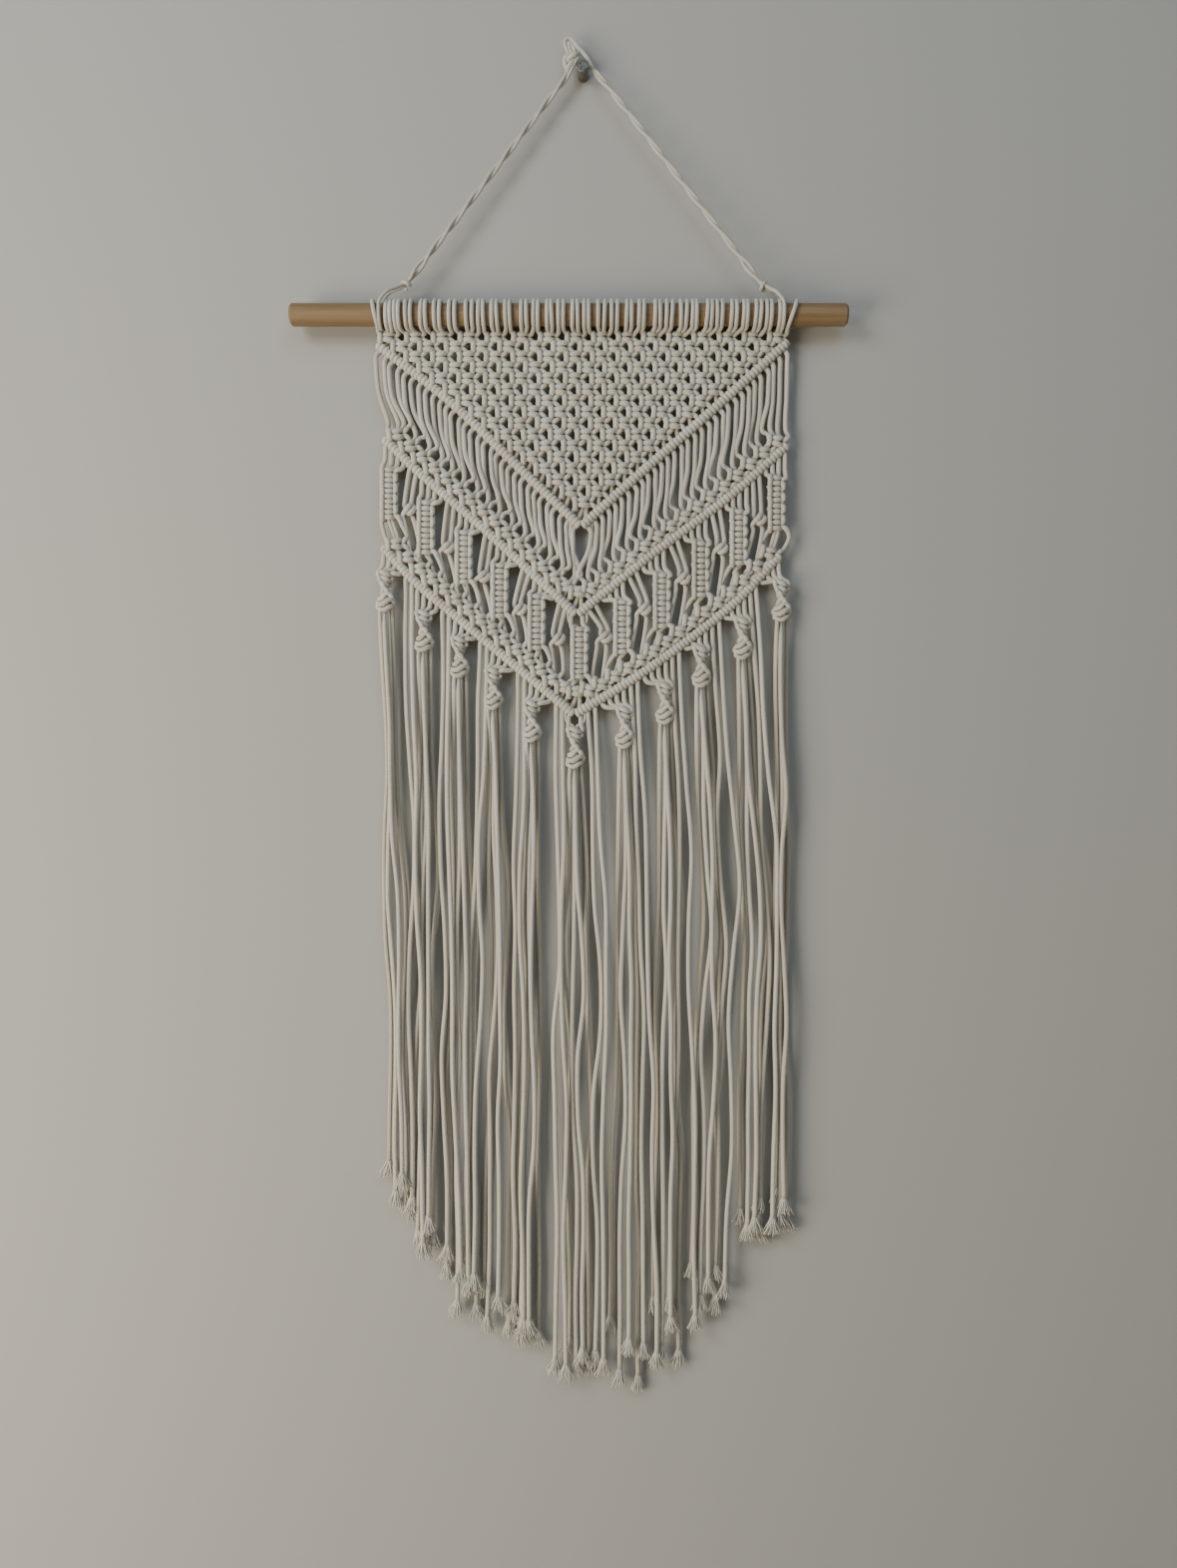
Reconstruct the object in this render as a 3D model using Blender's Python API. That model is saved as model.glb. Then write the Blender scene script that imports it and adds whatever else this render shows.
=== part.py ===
# A macrame wall hanging: 64 cotton strands looped over a wooden dowel, knotted into a net and three
# V-shaped bars, ending in a pointed fringe. A twisted hanger cord goes over a nail in the wall.
# Sizes below are in millimetres. X is to the right, Z is up, and the front faces -Y.
# The nail's axis meets the wall at the origin, and the wall's face is the plane y = 0.

import math

import bmesh
import bpy
import numpy as np

MM = 0.001

# Dowel: a round rod along X.
DOWEL_LENGTH = 400.2
DOWEL_RADIUS = 8.0
DOWEL_CHAMFER = 1.5
DOWEL_X = -10.2
DOWEL_Y = -13.5
DOWEL_Z = -178.7
DOWEL_SIDES = 24

# Nail in the wall: (distance from the wall, radius) along its length.
NAIL_PROFILE = ((0.0, 3.6), (11.4, 3.6), (11.4, 4.1), (12.0, 4.6), (13.8, 4.6), (14.6, 3.8))
NAIL_SIDES = 16

# Cords: the panel hangs in one plane, and each strand is STRAND wide.
STRANDS = 64
APEX = STRANDS // 2
STRAND = 3.1
PANEL_Y = -6.5
STRAND_DEPTH = 1.7
BAR_DEPTH = 2.0
KNOT_CROWN = 4.2
BAR_CROWN = 3.9

# Loops on the dowel: the inner and outer radius of a strand about the dowel's axis, and the turns
# at which it is bent, in degrees from the front and up.
LOOP_INNER = 9.6
LOOP_OUTER = 13.0
LOOP_FRONT_TURNS = (-50.0, 5.0, 60.0)
LOOP_BACK_TURNS = (118.0, 176.0)
LOOP_WIDTH = 3.1
LOOP_STRAY = 0.15
LOOP_FOOT_FRONT = (-8.6, -190.2)
LOOP_FOOT_BACK = (-5.2, -188.8)
# Where the four strands of a knot lie on the dowel and enter the knot, from the knot's centre.
LOOP_PLACES = (-7.4, -1.1, 2.9, 7.6)
LOOP_FEET = ((-8.6, -4.3), (-4.3, 0.9), (0.9, 5.0), (5.0, 8.6))
LOOP_PAIRS = ((0, 1), (2, 3))
# The hanger passes between the strands of the first and the last knot.
FIRST_PLACES = (-8.0, 0.8, 4.4, 8.0)
FIRST_FEET = ((-9.9, -6.1), (-0.5, 2.7), (2.7, 5.7), (5.7, 8.8))
FIRST_PAIRS = ((0,), (1,), (2, 3))
LAST_PLACES = (-7.2, -3.5, 0.1, 10.2)
LAST_FEET = ((-8.7, -5.5), (-5.5, -2.2), (-2.2, 1.4), (6.9, 10.4))
LAST_PAIRS = ((0, 1), (2,), (3,))

# Net: rows of square knots, one knot fewer in each row.
NET_ROWS = 16
NET_TOP_Z = -192.9
NET_ROW_STEP = 8.18
NET_TOP_SQUEEZE = 3.24
NET_CENTRE_X = 2.8
NET_LEAN = -3.9
NET_HALF_STEP_LEFT = 9.66
NET_HALF_STEP_RIGHT = 9.09
NET_KNOT_HALF = 7.1
NET_HOLE_SHARE = 0.33

# V bars: (x, z) of each centre line from the left end by the apex to the right end.
BAR_1 = (
    (-149.5, -197.0),
    (-95.8, -239.1),
    (-40.7, -292.0),
    (-1.4, -329.5),
    (34.5, -296.8),
    (89.7, -248.6),
    (148.0, -196.0),
)
BAR_2 = (
    (-144.5, -265.0),
    (-123.4, -285.8),
    (-68.3, -334.1),
    (-4.5, -393.5),
    (48.3, -350.6),
    (103.5, -309.3),
    (148.5, -270.0),
)
BAR_3 = (
    (-145.5, -343.5),
    (-123.4, -367.5),
    (-78.6, -405.5),
    (-6.0, -465.6),
    (46.3, -433.0),
    (108.8, -385.3),
    (143.0, -349.5),
)
BAR_THICK = 7.2
BAR_RISE = 4.9
BAR_END_BLEND = 4

# The diagonal row of square knots on a bar.
ROW_RISE = 15.1
ROW_LEAN = 4.3
ROW_APEX_RISE = 5.0
ROW_APEX_BLEND = 3
ROW_BUMP = 0.7

# Sennits of five square knots: the first strand of each, its centre x, and its top and bottom z.
SENNITS = (
    (0, -140.2, -286.8, -325.0),
    (6, -113.5, -310.6, -350.3),
    (12, -86.1, -332.2, -371.9),
    (18, -60.2, -356.0, -396.4),
    (24, -33.5, -378.4, -419.4),
    (30, -2.5, -402.2, -440.3),
    (36, 28.5, -382.7, -422.3),
    (42, 57.3, -363.2, -403.6),
    (48, 85.4, -340.2, -381.2),
    (54, 112.8, -317.1, -358.2),
    (60, 140.2, -292.6, -330.0),
)
SENNIT_RUNGS = 10
SENNIT_HALF = 4.5
SENNIT_BUMP = 6.1
SENNIT_END_HALF = 4.0

# Overhand knots in two strands: the first strand of each, and its centre x and z.
PAIR_KNOTS = (
    (4, -126.0, -317.8),
    (10, -98.6, -345.2),
    (16, -72.6, -366.1),
    (22, -46.2, -389.9),
    (28, -18.5, -411.5),
    (34, 15.4, -410.1),
    (40, 44.0, -389.9),
    (46, 72.4, -367.6),
    (52, 99.5, -345.9),
    (58, 127.2, -325.0),
)
PAIR_KNOT_HALF = 3.7

# Spirals of half knots below the third bar: the first strand of each, and x and z of the ball.
SPIRALS = (
    (0, -143.1, -384.1),
    (6, -115.2, -413.0),
    (12, -89.4, -431.7),
    (18, -64.9, -454.8),
    (24, -37.1, -478.5),
    (30, -5.8, -497.3),
    (36, 30.2, -482.9),
    (42, 59.5, -465.6),
    (48, 85.8, -438.9),
    (54, 115.7, -418.7),
    (60, 143.8, -391.3),
)
# (height from the ball's centre, half width, crown's shift to the right) down a spiral.
SPIRAL_SECTIONS = (
    (21.6, 4.6, 0.0),
    (16.8, 5.7, 1.6),
    (12.4, 4.4, -1.6),
    (9.2, 2.9, 0.8),
    (4.6, 5.5, -2.0),
    (0.0, 6.8, 2.4),
    (-4.6, 5.5, -2.2),
    (-7.8, 4.3, 1.4),
)
SPIRAL_CROWN = 5.2

# Fringe, in groups of four strands and two by turns: end x, end z, and the spread of the ends.
FRINGE_GROUPS = (
    (-133.0, -813.0, 15.9, 24.5),
    (-116.4, -841.8, 10.1, 31.7),
    (-118.6, -843.2, 18.7, 18.7),
    (-93.3, -868.4, 10.1, 14.4),
    (-85.4, -890.8, 27.4, 28.8),
    (-84.0, -872.0, 7.2, 17.3),
    (-65.2, -902.3, 24.5, 28.8),
    (-46.5, -908.1, 7.2, 11.5),
    (-42.2, -916.7, 18.7, 15.9),
    (-16.2, -944.8, 7.9, 2.9),
    (-2.5, -936.9, 14.4, 15.9),
    (11.9, -939.8, 5.8, 4.3),
    (29.9, -935.5, 20.2, 43.2),
    (48.6, -934.7, 9.4, 5.8),
    (60.2, -918.9, 18.7, 38.9),
    (71.7, -904.5, 18.7, 11.5),
    (87.6, -887.9, 17.3, 24.5),
    (99.1, -880.7, 6.5, 11.5),
    (121.4, -841.8, 14.4, 13.0),
    (132.3, -833.1, 8.6, 14.4),
    (143.8, -830.2, 7.2, 20.2),
)
FRINGE_GAP = 0.35
FRINGE_LAYERS = (-4.5, -8.7)
FRINGE_RIDGE = 1.9
FRINGE_BACK = 1.1
FRINGE_SECTIONS = 6
FRINGE_WIDTH = 3.3
FRINGE_ROOT = 6.0
FRINGE_LEAST_STEP = 6.2
FRINGE_WAVE = 1.6
FRINGE_WAVE_LENGTH = 190.0
TUFT_WIDTH = 5.4
TUFT_LENGTH = 9.0
# How the ends of a group of four fall within the spread of their heights.
FOUR_ENDS = (0.5, -0.35, 0.2, -0.5)
TWO_ENDS = (0.5, -0.5)

# Hanger cord: two plies twisted together.
CORD_RADII = (2.3, 1.7, 1.7, 2.3, 1.7, 1.7)
CORD_LOOP_RADII = (2.05, 1.75, 1.75, 2.05, 1.75, 1.75)
CORD_HALF_TWIST = 26.0
CORD_STEP = 9.4
CORD_LOOP_STEP = 7.2
CORD_BEND_STEP = 3.6
# (x, y, z) of the cord over the nail, from the left leg's knot to the right leg's.
CORD_PATH = (
    (-127.6, -13.5, -157.1),
    (-76.6, -11.0, -89.9),
    (-25.6, -8.3, -22.3),
    (-9.3, -6.8, -1.2),
    (-5.9, -6.5, 3.2),
    (-3.3, -6.5, 5.9),
    (0.2, -6.5, 6.8),
    (3.7, -6.5, 5.7),
    (6.4, -6.6, 2.4),
    (26.3, -8.3, -22.3),
    (78.0, -11.0, -90.4),
    (129.7, -13.5, -158.6),
)
CORD_BEND = (195.0, 232.0)
# A loop round the dowel: (x, turn in degrees, radius about the dowel's axis), from front to back.
LOOP_LEFT_X = -145.3
LOOP_RIGHT_X = 143.3
HANGER_LOOP = (
    (0.7, 26.0, 12.6),
    (0.0, 5.0, 10.6),
    (0.0, -22.0, 10.5),
    (0.0, -50.0, 10.5),
    (0.0, -80.0, 10.5),
    (0.0, -110.0, 10.5),
    (0.0, -140.0, 10.5),
    (0.0, -170.0, 10.4),
    (0.0, -200.0, 10.4),
    (0.0, -228.0, 10.6),
    (0.6, -245.0, 13.0),
)
LEG_KNOT_HALVES = (3.6, 3.4, 3.9)
# Lumps of the knot beside the nail: centre, and half sizes.
NAIL_KNOT = (
    ((-8.6, -6.8, 3.4), (5.3, 3.4, 4.6)),
    ((-9.2, -8.4, 8.4), (4.9, 3.0, 3.9)),
    ((-5.6, -8.0, 9.6), (3.4, 2.6, 4.0)),
)
# The small ear of cord above that knot.
EAR_CENTRE = (-9.9, -7.6, 17.6)
EAR_RADIUS = (3.5, 6.0)
EAR_CORD = 1.45


def clear_scene():
    for found in list(bpy.data.objects):
        bpy.data.objects.remove(found, do_unlink=True)


def material(name, colour, roughness, metallic=0.0):
    made = bpy.data.materials.new(name)
    made.use_nodes = True
    shader = made.node_tree.nodes["Principled BSDF"]
    shader.inputs["Base Color"].default_value = (*colour, 1.0)
    shader.inputs["Roughness"].default_value = roughness
    shader.inputs["Metallic"].default_value = metallic
    return made


def make_object(name, points, faces, surface=None):
    """Points in millimetres and faces as a new object in metres."""
    mesh = bpy.data.meshes.new(name)
    mesh.from_pydata([tuple(MM * float(v) for v in p) for p in points], [], faces)
    mesh.update()
    made = bpy.data.objects.new(name, mesh)
    bpy.context.scene.collection.objects.link(made)
    if surface:
        mesh.materials.append(surface)
    return made


class Sheet:
    """Cords lying side by side, as cells between corners that each have a front and a back point."""

    def __init__(self):
        self.points = []
        self.corners = []
        self.cells = []

    def point(self, x, y, z):
        self.points.append((x, y, z))
        return len(self.points) - 1

    def corner_at(self, front, back):
        """A corner between two points, each given by its place or by its number."""
        ends = [end if isinstance(end, int) else self.point(*end) for end in (front, back)]
        self.corners.append(tuple(ends))
        return len(self.corners) - 1

    def corner(self, x, z, depth=STRAND_DEPTH, middle=PANEL_Y):
        return self.corner_at((x, middle - depth, z), (x, middle + depth, z))

    def flat(self, corner):
        front = self.points[self.corners[corner][0]]
        back = self.points[self.corners[corner][1]]
        return 0.5 * (front[0] + back[0]), 0.5 * (front[2] + back[2])

    def cell(self, corners, crown=0.0, shift=0.0, middle=PANEL_Y):
        """Corners anticlockwise from the front. A crown raises the middle of the front face."""
        top = None
        if crown:
            flat = np.array([self.flat(c) for c in corners])
            x, z = 0.5 * (flat.mean(axis=0) + 0.5 * (flat.min(axis=0) + flat.max(axis=0)))
            top = self.point(x + shift, middle - crown, z)
        self.cells.append((tuple(corners), top))

    def strand(self, upper, lower):
        """A piece of one strand between two pairs of corners, each left then right."""
        self.cell((upper[0], lower[0], lower[1], upper[1]))

    def faces(self):
        used = {(a, b) for corners, _ in self.cells for a, b in ring_edges(corners)}
        made = []
        for corners, top in self.cells:
            front = [self.corners[c][0] for c in corners]
            made.append([self.corners[c][1] for c in reversed(corners)])
            if top is None:
                made.append(front)
            else:
                made.extend([a, b, top] for a, b in ring_edges(front))
            for a, b in ring_edges(corners):
                if (b, a) not in used:
                    front_a, back_a = self.corners[a]
                    front_b, back_b = self.corners[b]
                    made.append([front_b, front_a, back_a, back_b])
        tidy = [[p for k, p in enumerate(face) if p != face[k - 1]] for face in made]
        return [face for face in tidy if len(face) > 2]


def ring_edges(items):
    return [(items[k], items[(k + 1) % len(items)]) for k in range(len(items))]


def line_z(line, x):
    xs, zs = zip(*line)
    return float(np.interp(x, xs, zs))


def bar_points(line):
    """The upper and lower edge of a V bar, one point for each side of each strand."""
    left, right = line[0], line[-1]
    apex = min(line, key=lambda point: point[1])
    xs = [left[0] + (apex[0] - left[0]) * i / APEX for i in range(APEX)]
    xs += [apex[0] + (right[0] - apex[0]) * i / APEX for i in range(APEX + 1)]
    upper, lower = [], []
    for i, x in enumerate(xs):
        end = left if i < APEX else right
        run, drop = apex[0] - end[0], end[1] - apex[1]
        blend = min(1.0, min(i, abs(APEX - i), STRANDS - i) / BAR_END_BLEND)
        across = drop / math.hypot(run, drop) * math.copysign(blend, run)
        up = math.sqrt(1.0 - across**2)
        z = line_z(line, x) + BAR_RISE
        upper.append((x, z))
        lower.append((x - BAR_THICK * across, z - BAR_THICK * up))
    return upper, lower


def row_points(line, upper):
    """The top edge of the diagonal row of knots on a bar."""
    made = []
    for i, (x, _) in enumerate(upper):
        from_apex = min(1.0, abs(APEX - i) / ROW_APEX_BLEND)
        from_end = min(1.0, min(i, STRANDS - i) / BAR_END_BLEND)
        lean = math.copysign(ROW_LEAN, i - APEX) * min(from_apex, from_end)
        rise = ROW_RISE + ROW_APEX_RISE * (1.0 - from_apex)
        made.append((x + lean, line_z(line, x + lean) + rise + ROW_BUMP * (i % 2)))
    return made


def add_corners(sheet, places, depth):
    return [sheet.corner(x, z, depth) for x, z in places]


def add_bar(sheet, upper, lower):
    for i in range(STRANDS):
        sheet.cell((upper[i], lower[i], lower[i + 1], upper[i + 1]), BAR_CROWN)


def add_knot_row(sheet, top, under):
    """Square knots of four strands along a bar, each sharing two strands with the next."""
    last = APEX // 2 - 2
    for j in range(last + 1):
        i = 2 * j
        ends = [top[i + 2], under[i], under[i + 1], under[i + 2], top[i + 4], top[i + 3]]
        if j == 0:
            ends = [top[0], *ends[1:], top[2], top[1]]
        sheet.cell(ends, KNOT_CROWN)
    sheet.cell([top[APEX], *under[APEX - 2 : APEX + 3]], KNOT_CROWN)
    for j in range(last + 1):
        i = STRANDS - 2 * j
        ends = [top[i - 4], under[i - 2], under[i - 1], under[i], top[i - 2], top[i - 3]]
        if j == 0:
            ends = [top[i - 4], *ends[1:4], top[i], top[i - 1], top[i - 2], top[i - 3]]
        sheet.cell(ends, KNOT_CROWN)


def net_place(row, k):
    column = row + 2 * k + 1 - NET_ROWS
    half_step = NET_HALF_STEP_LEFT if column < 0 else NET_HALF_STEP_RIGHT
    x = NET_CENTRE_X + NET_LEAN * row / (NET_ROWS - 1) + column * half_step
    drop = NET_ROW_STEP * row - NET_TOP_SQUEEZE * (1.0 - math.exp(-row / 2))
    return x, NET_TOP_Z - drop


def around_dowel(x, turn, radius):
    angle = math.radians(turn)
    return x, DOWEL_Y - radius * math.cos(angle), DOWEL_Z + radius * math.sin(angle)


def dowel_corner(sheet, x, turn):
    return sheet.corner_at(around_dowel(x, turn, LOOP_OUTER), around_dowel(x, turn, LOOP_INNER))


def add_loops(sheet, k, x):
    """The four strands of a top knot go up over the dowel. Returns the knot's top corners."""
    squeeze = 1.0 if x < 0 else NET_HALF_STEP_RIGHT / NET_HALF_STEP_LEFT
    places, feet, pairs = [squeeze * place for place in LOOP_PLACES], LOOP_FEET, LOOP_PAIRS
    if k == 0:
        places, feet, pairs = FIRST_PLACES, FIRST_FEET, FIRST_PAIRS
    if k == NET_ROWS - 1:
        places, feet, pairs = LAST_PLACES, LAST_FEET, LAST_PAIRS
    foot = {}
    for side in sorted({s for pair in feet for s in pair}):
        front = (x + side, *LOOP_FOOT_FRONT)
        back = (x + side, *LOOP_FOOT_BACK)
        foot[side] = sheet.corner_at(front, back)
    tops = []
    for j, place in enumerate(places):
        middle = x + place + LOOP_STRAY * math.sin(2.3 * (4 * k + j))
        below = (foot[feet[j][0]], foot[feet[j][1]])
        for turn in LOOP_FRONT_TURNS:
            here = [dowel_corner(sheet, middle + s * LOOP_WIDTH / 2, turn) for s in (-1, 1)]
            sheet.strand(here, below)
            below = here
        tops.append(here)
    for pair in pairs:
        edge = [corner for j in pair for corner in tops[j]]
        left, right = sheet.flat(edge[0])[0], sheet.flat(edge[-1])[0]
        for turn in LOOP_BACK_TURNS:
            here = [dowel_corner(sheet, left, turn), dowel_corner(sheet, right, turn)]
            sheet.cell([here[0], *edge, here[1]])
            edge = here
    return [foot[side] for side in sorted(foot)]


def add_net(sheet, upper):
    """Square knots in rows. Each hangs from two knots above, and the outer ones feed the bar."""
    high, low, crown = {}, {}, {}
    for row in range(NET_ROWS):
        for k in range(NET_ROWS - row):
            x, z = net_place(row, k)
            rise = NET_HOLE_SHARE * NET_ROW_STEP
            lift = rise - 0.8 if row == 0 else rise
            for side in (-1, 1):
                low[row, k, side] = sheet.corner(x + side * NET_KNOT_HALF, z - rise)
                high[row, k, side] = sheet.corner(x + side * NET_KNOT_HALF, z + lift)
            crown[row, k] = x
    for row in range(NET_ROWS):
        last = NET_ROWS - 1 - row
        for k in range(last + 1):
            i, j = 2 * row, STRANDS - 2 * row
            ends = [high[row, k, -1]] if row or k else []
            if row == NET_ROWS - 1:
                ends += upper[i : j + 1]
            elif k == 0:
                ends += [*upper[i : i + 3], high[row + 1, k, -1], low[row, k, 1]]
            elif k == last:
                ends += [low[row, k, -1], high[row + 1, k - 1, 1], *upper[j - 2 : j + 1]]
            else:
                ends += [low[row, k, -1], high[row + 1, k - 1, 1], high[row + 1, k, -1], low[row, k, 1]]
            if row or k < last:
                ends.append(high[row, k, 1])
            if row == 0:
                ends += reversed(add_loops(sheet, k, crown[row, k]))
            else:
                ends += [low[row - 1, k + 1, -1], low[row - 1, k, 1]]
            sheet.cell(ends, KNOT_CROWN)


def between(sheet, first, second, share):
    a, b = sheet.flat(first), sheet.flat(second)
    return a[0] + (b[0] - a[0]) * share, a[1] + (b[1] - a[1]) * share


def hang(sheet, upper, lower, shares, width=STRAND):
    """One strand from a pair of corners to a pair below, with a narrower section at each share."""
    above = upper
    for share in shares:
        left = between(sheet, upper[0], lower[0], share)
        right = between(sheet, upper[1], lower[1], share)
        x, z = 0.5 * (left[0] + right[0]), 0.5 * (left[1] + right[1])
        here = [sheet.corner(x + side * width / 2, z) for side in (-1, 1)]
        sheet.strand(above, here)
        above = here
    sheet.strand(above, lower)


def add_floats(sheet, lower, top):
    for i in range(STRANDS):
        hang(sheet, (lower[i], lower[i + 1]), (top[i], top[i + 1]), (0.22, 0.72))


def spread_corners(sheet, x, z, half, count):
    return [sheet.corner(x + half * (2 * k / (count - 1) - 1), z) for k in range(count)]


def add_sennit(sheet, above, x, top, bottom, below):
    """Five square knots: each rung bulges on one side, left and right by turns."""
    edge = spread_corners(sheet, x, top, SENNIT_END_HALF, 5)
    for k in range(4):
        sheet.strand(above[k : k + 2], edge[k : k + 2])
    rung = (top - bottom) / SENNIT_RUNGS
    for m in range(SENNIT_RUNGS):
        z = top - rung * (m + 1)
        left, right = m % 2 == 0, m % 2 == 1
        side = -1 if left else 1
        bump = sheet.corner(x + side * SENNIT_BUMP, z + rung / 2)
        half = SENNIT_END_HALF if m == SENNIT_RUNGS - 1 else SENNIT_HALF
        ends = spread_corners(sheet, x, z, half, 5 if m == SENNIT_RUNGS - 1 else 2)
        left_side = [bump] if left else []
        right_side = [bump] if right else []
        around = [edge[0], *left_side, *ends, *right_side, *reversed(edge[1:])]
        sheet.cell(around, KNOT_CROWN, side)
        edge = ends
    for k in range(4):
        sheet.strand(edge[k : k + 2], below[k : k + 2])


def add_pair_knot(sheet, above, x, z, below):
    half = PAIR_KNOT_HALF
    top = spread_corners(sheet, x, z + 1.05 * half, 0.62 * half, 3)
    bottom = spread_corners(sheet, x, z - 1.05 * half, 0.62 * half, 3)
    left = [sheet.corner(x - half, z + s * 0.4 * half) for s in (1, -1)]
    right = [sheet.corner(x + half, z + s * 0.4 * half) for s in (-1, 1)]
    for k in range(2):
        hang(sheet, above[k : k + 2], top[k : k + 2], (0.35,))
        hang(sheet, bottom[k : k + 2], below[k : k + 2], (0.55,))
    sheet.cell([top[0], *left, *bottom, *right, *reversed(top[1:])], KNOT_CROWN)


def knotted_panel():
    sheet = Sheet()
    upper_1, lower_1 = (add_corners(sheet, edge, BAR_DEPTH) for edge in bar_points(BAR_1))
    add_net(sheet, upper_1)
    add_bar(sheet, upper_1, lower_1)
    edge_2 = bar_points(BAR_2)
    top_2 = add_corners(sheet, row_points(BAR_2, edge_2[0]), STRAND_DEPTH)
    upper_2, lower_2 = (add_corners(sheet, edge, BAR_DEPTH) for edge in edge_2)
    add_floats(sheet, lower_1, top_2)
    add_knot_row(sheet, top_2, upper_2)
    add_bar(sheet, upper_2, lower_2)
    edge_3 = bar_points(BAR_3)
    top_3 = add_corners(sheet, row_points(BAR_3, edge_3[0]), STRAND_DEPTH)
    upper_3 = add_corners(sheet, edge_3[0], BAR_DEPTH)
    for first, x, top, bottom in SENNITS:
        add_sennit(sheet, lower_2[first : first + 5], x, top, bottom, top_3[first : first + 5])
    for first, x, z in PAIR_KNOTS:
        add_pair_knot(sheet, lower_2[first : first + 3], x, z, top_3[first : first + 3])
    add_knot_row(sheet, top_3, upper_3)
    return sheet


def add_spiral(sheet, above, x, z):
    """Half knots twisted into a ball below a neck. Returns the corners that the fringe leaves by."""
    edge = None
    for k, (rise, half, shift) in enumerate(SPIRAL_SECTIONS):
        count = 5 if k in (0, len(SPIRAL_SECTIONS) - 1) else 2
        ends = spread_corners(sheet, x, z + rise, half, count)
        if edge is None:
            for n in range(4):
                sheet.strand(above[n : n + 2], ends[n : n + 2])
        else:
            sheet.cell([edge[0], *ends, *reversed(edge[1:])], SPIRAL_CROWN, shift)
        edge = ends
    return edge


def fringe_ends():
    """End x and z of each strand. Strands in one layer keep their order and a least distance."""
    places = []
    for group, (x, z, wide, tall) in enumerate(FRINGE_GROUPS):
        heights = TWO_ENDS if group % 2 else FOUR_ENDS
        for k, height in enumerate(heights):
            share = k / (len(heights) - 1) - 0.5
            places.append([x + wide * share, z + tall * height])
    for layer in (0, 1):
        mine = list(range(layer, STRANDS, 2))
        xs = sorted(places[i][0] for i in mine)
        for _ in range(200):
            for k in range(len(xs) - 1):
                lack = FRINGE_LEAST_STEP - (xs[k + 1] - xs[k])
                if lack > 0:
                    xs[k] -= lack / 2
                    xs[k + 1] += lack / 2
        for i, x in zip(mine, xs):
            places[i][0] = x
    return places


def ridge_section(sheet, x, z, width, middle):
    ridge = sheet.point(x, middle - FRINGE_RIDGE, z)
    sides = [(x + side * width / 2, middle + FRINGE_BACK, z) for side in (-1, 1)]
    return [sheet.corner_at(ridge, side) for side in sides]


def add_fringe_strand(sheet, i, root, end, passing=None):
    """One hanging strand, three-sided, in the front or the back layer, with a flared end."""
    middle = FRINGE_LAYERS[i % 2]
    left, right = sheet.flat(root[0]), sheet.flat(root[1])
    z = min(left[1], right[1]) - FRINGE_ROOT
    inner = 0.12
    here = [sheet.corner(x, z, 1.4, middle) for x in (left[0] + inner, right[0] - inner)]
    sheet.strand(root, here)
    x = 0.5 * (left[0] + right[0])
    if passing:
        below = ridge_section(sheet, *passing, STRAND, middle)
        sheet.strand(here, below)
        here, (x, z) = below, passing
    tuft = end[1] + TUFT_LENGTH
    for n in range(1, FRINGE_SECTIONS + 1):
        share = n / FRINGE_SECTIONS
        low = z + (tuft - z) * share
        sway = FRINGE_WAVE * math.sin(2 * math.pi * low / FRINGE_WAVE_LENGTH + 0.12 * i)
        at = x + (end[0] - x) * share + sway * math.sin(math.pi * share)
        below = ridge_section(sheet, at, low, FRINGE_WIDTH, middle)
        sheet.strand(here, below)
        here = below
    below = ridge_section(sheet, end[0], end[1], TUFT_WIDTH, middle)
    sheet.strand(here, below)


def fringe():
    """The third bar as the backing strip, with the spirals and the strands below it."""
    sheet = Sheet()
    upper, lower = bar_points(BAR_3)
    parted = []
    for (x, z), (under_x, under_z) in zip(upper, lower):
        share = FRINGE_GAP / BAR_THICK
        parted.append((x + (under_x - x) * share, z + (under_z - z) * share))
    top = add_corners(sheet, parted, BAR_DEPTH)
    bottom = add_corners(sheet, lower, BAR_DEPTH)
    add_bar(sheet, top, bottom)
    ends = fringe_ends()
    for k, (first, x, z) in enumerate(SPIRALS):
        roots = add_spiral(sheet, bottom[first : first + 5], x, z)
        for n in range(4):
            add_fringe_strand(sheet, first + n, roots[n : n + 2], ends[first + n])
        if k + 1 == len(SPIRALS):
            continue
        _, next_x, next_z = SPIRALS[k + 1]
        level = 0.5 * (z + next_z)
        for n in range(2):
            i = first + 4 + n
            beside = (0.5 * (x + next_x) + (2 * n - 1) * 2.3, level)
            add_fringe_strand(sheet, i, bottom[i : i + 2], ends[i], beside)
    return sheet


def smooth_path(points, steps=12):
    """Catmull-Rom curve through the points, as a dense line."""
    p = np.array(points, float)
    p = np.vstack([2 * p[0] - p[1], p, 2 * p[-1] - p[-2]])
    t = np.linspace(0, 1, steps, endpoint=False)[:, None]
    made = []
    for a, b, c, d in zip(p, p[1:], p[2:], p[3:]):
        made.append(b + 0.5 * t * (c - a + t * (2 * a - 5 * b + 4 * c - d + t * (3 * (b - c) + d - a))))
    return np.vstack([*made, p[-2:-1]])


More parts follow.
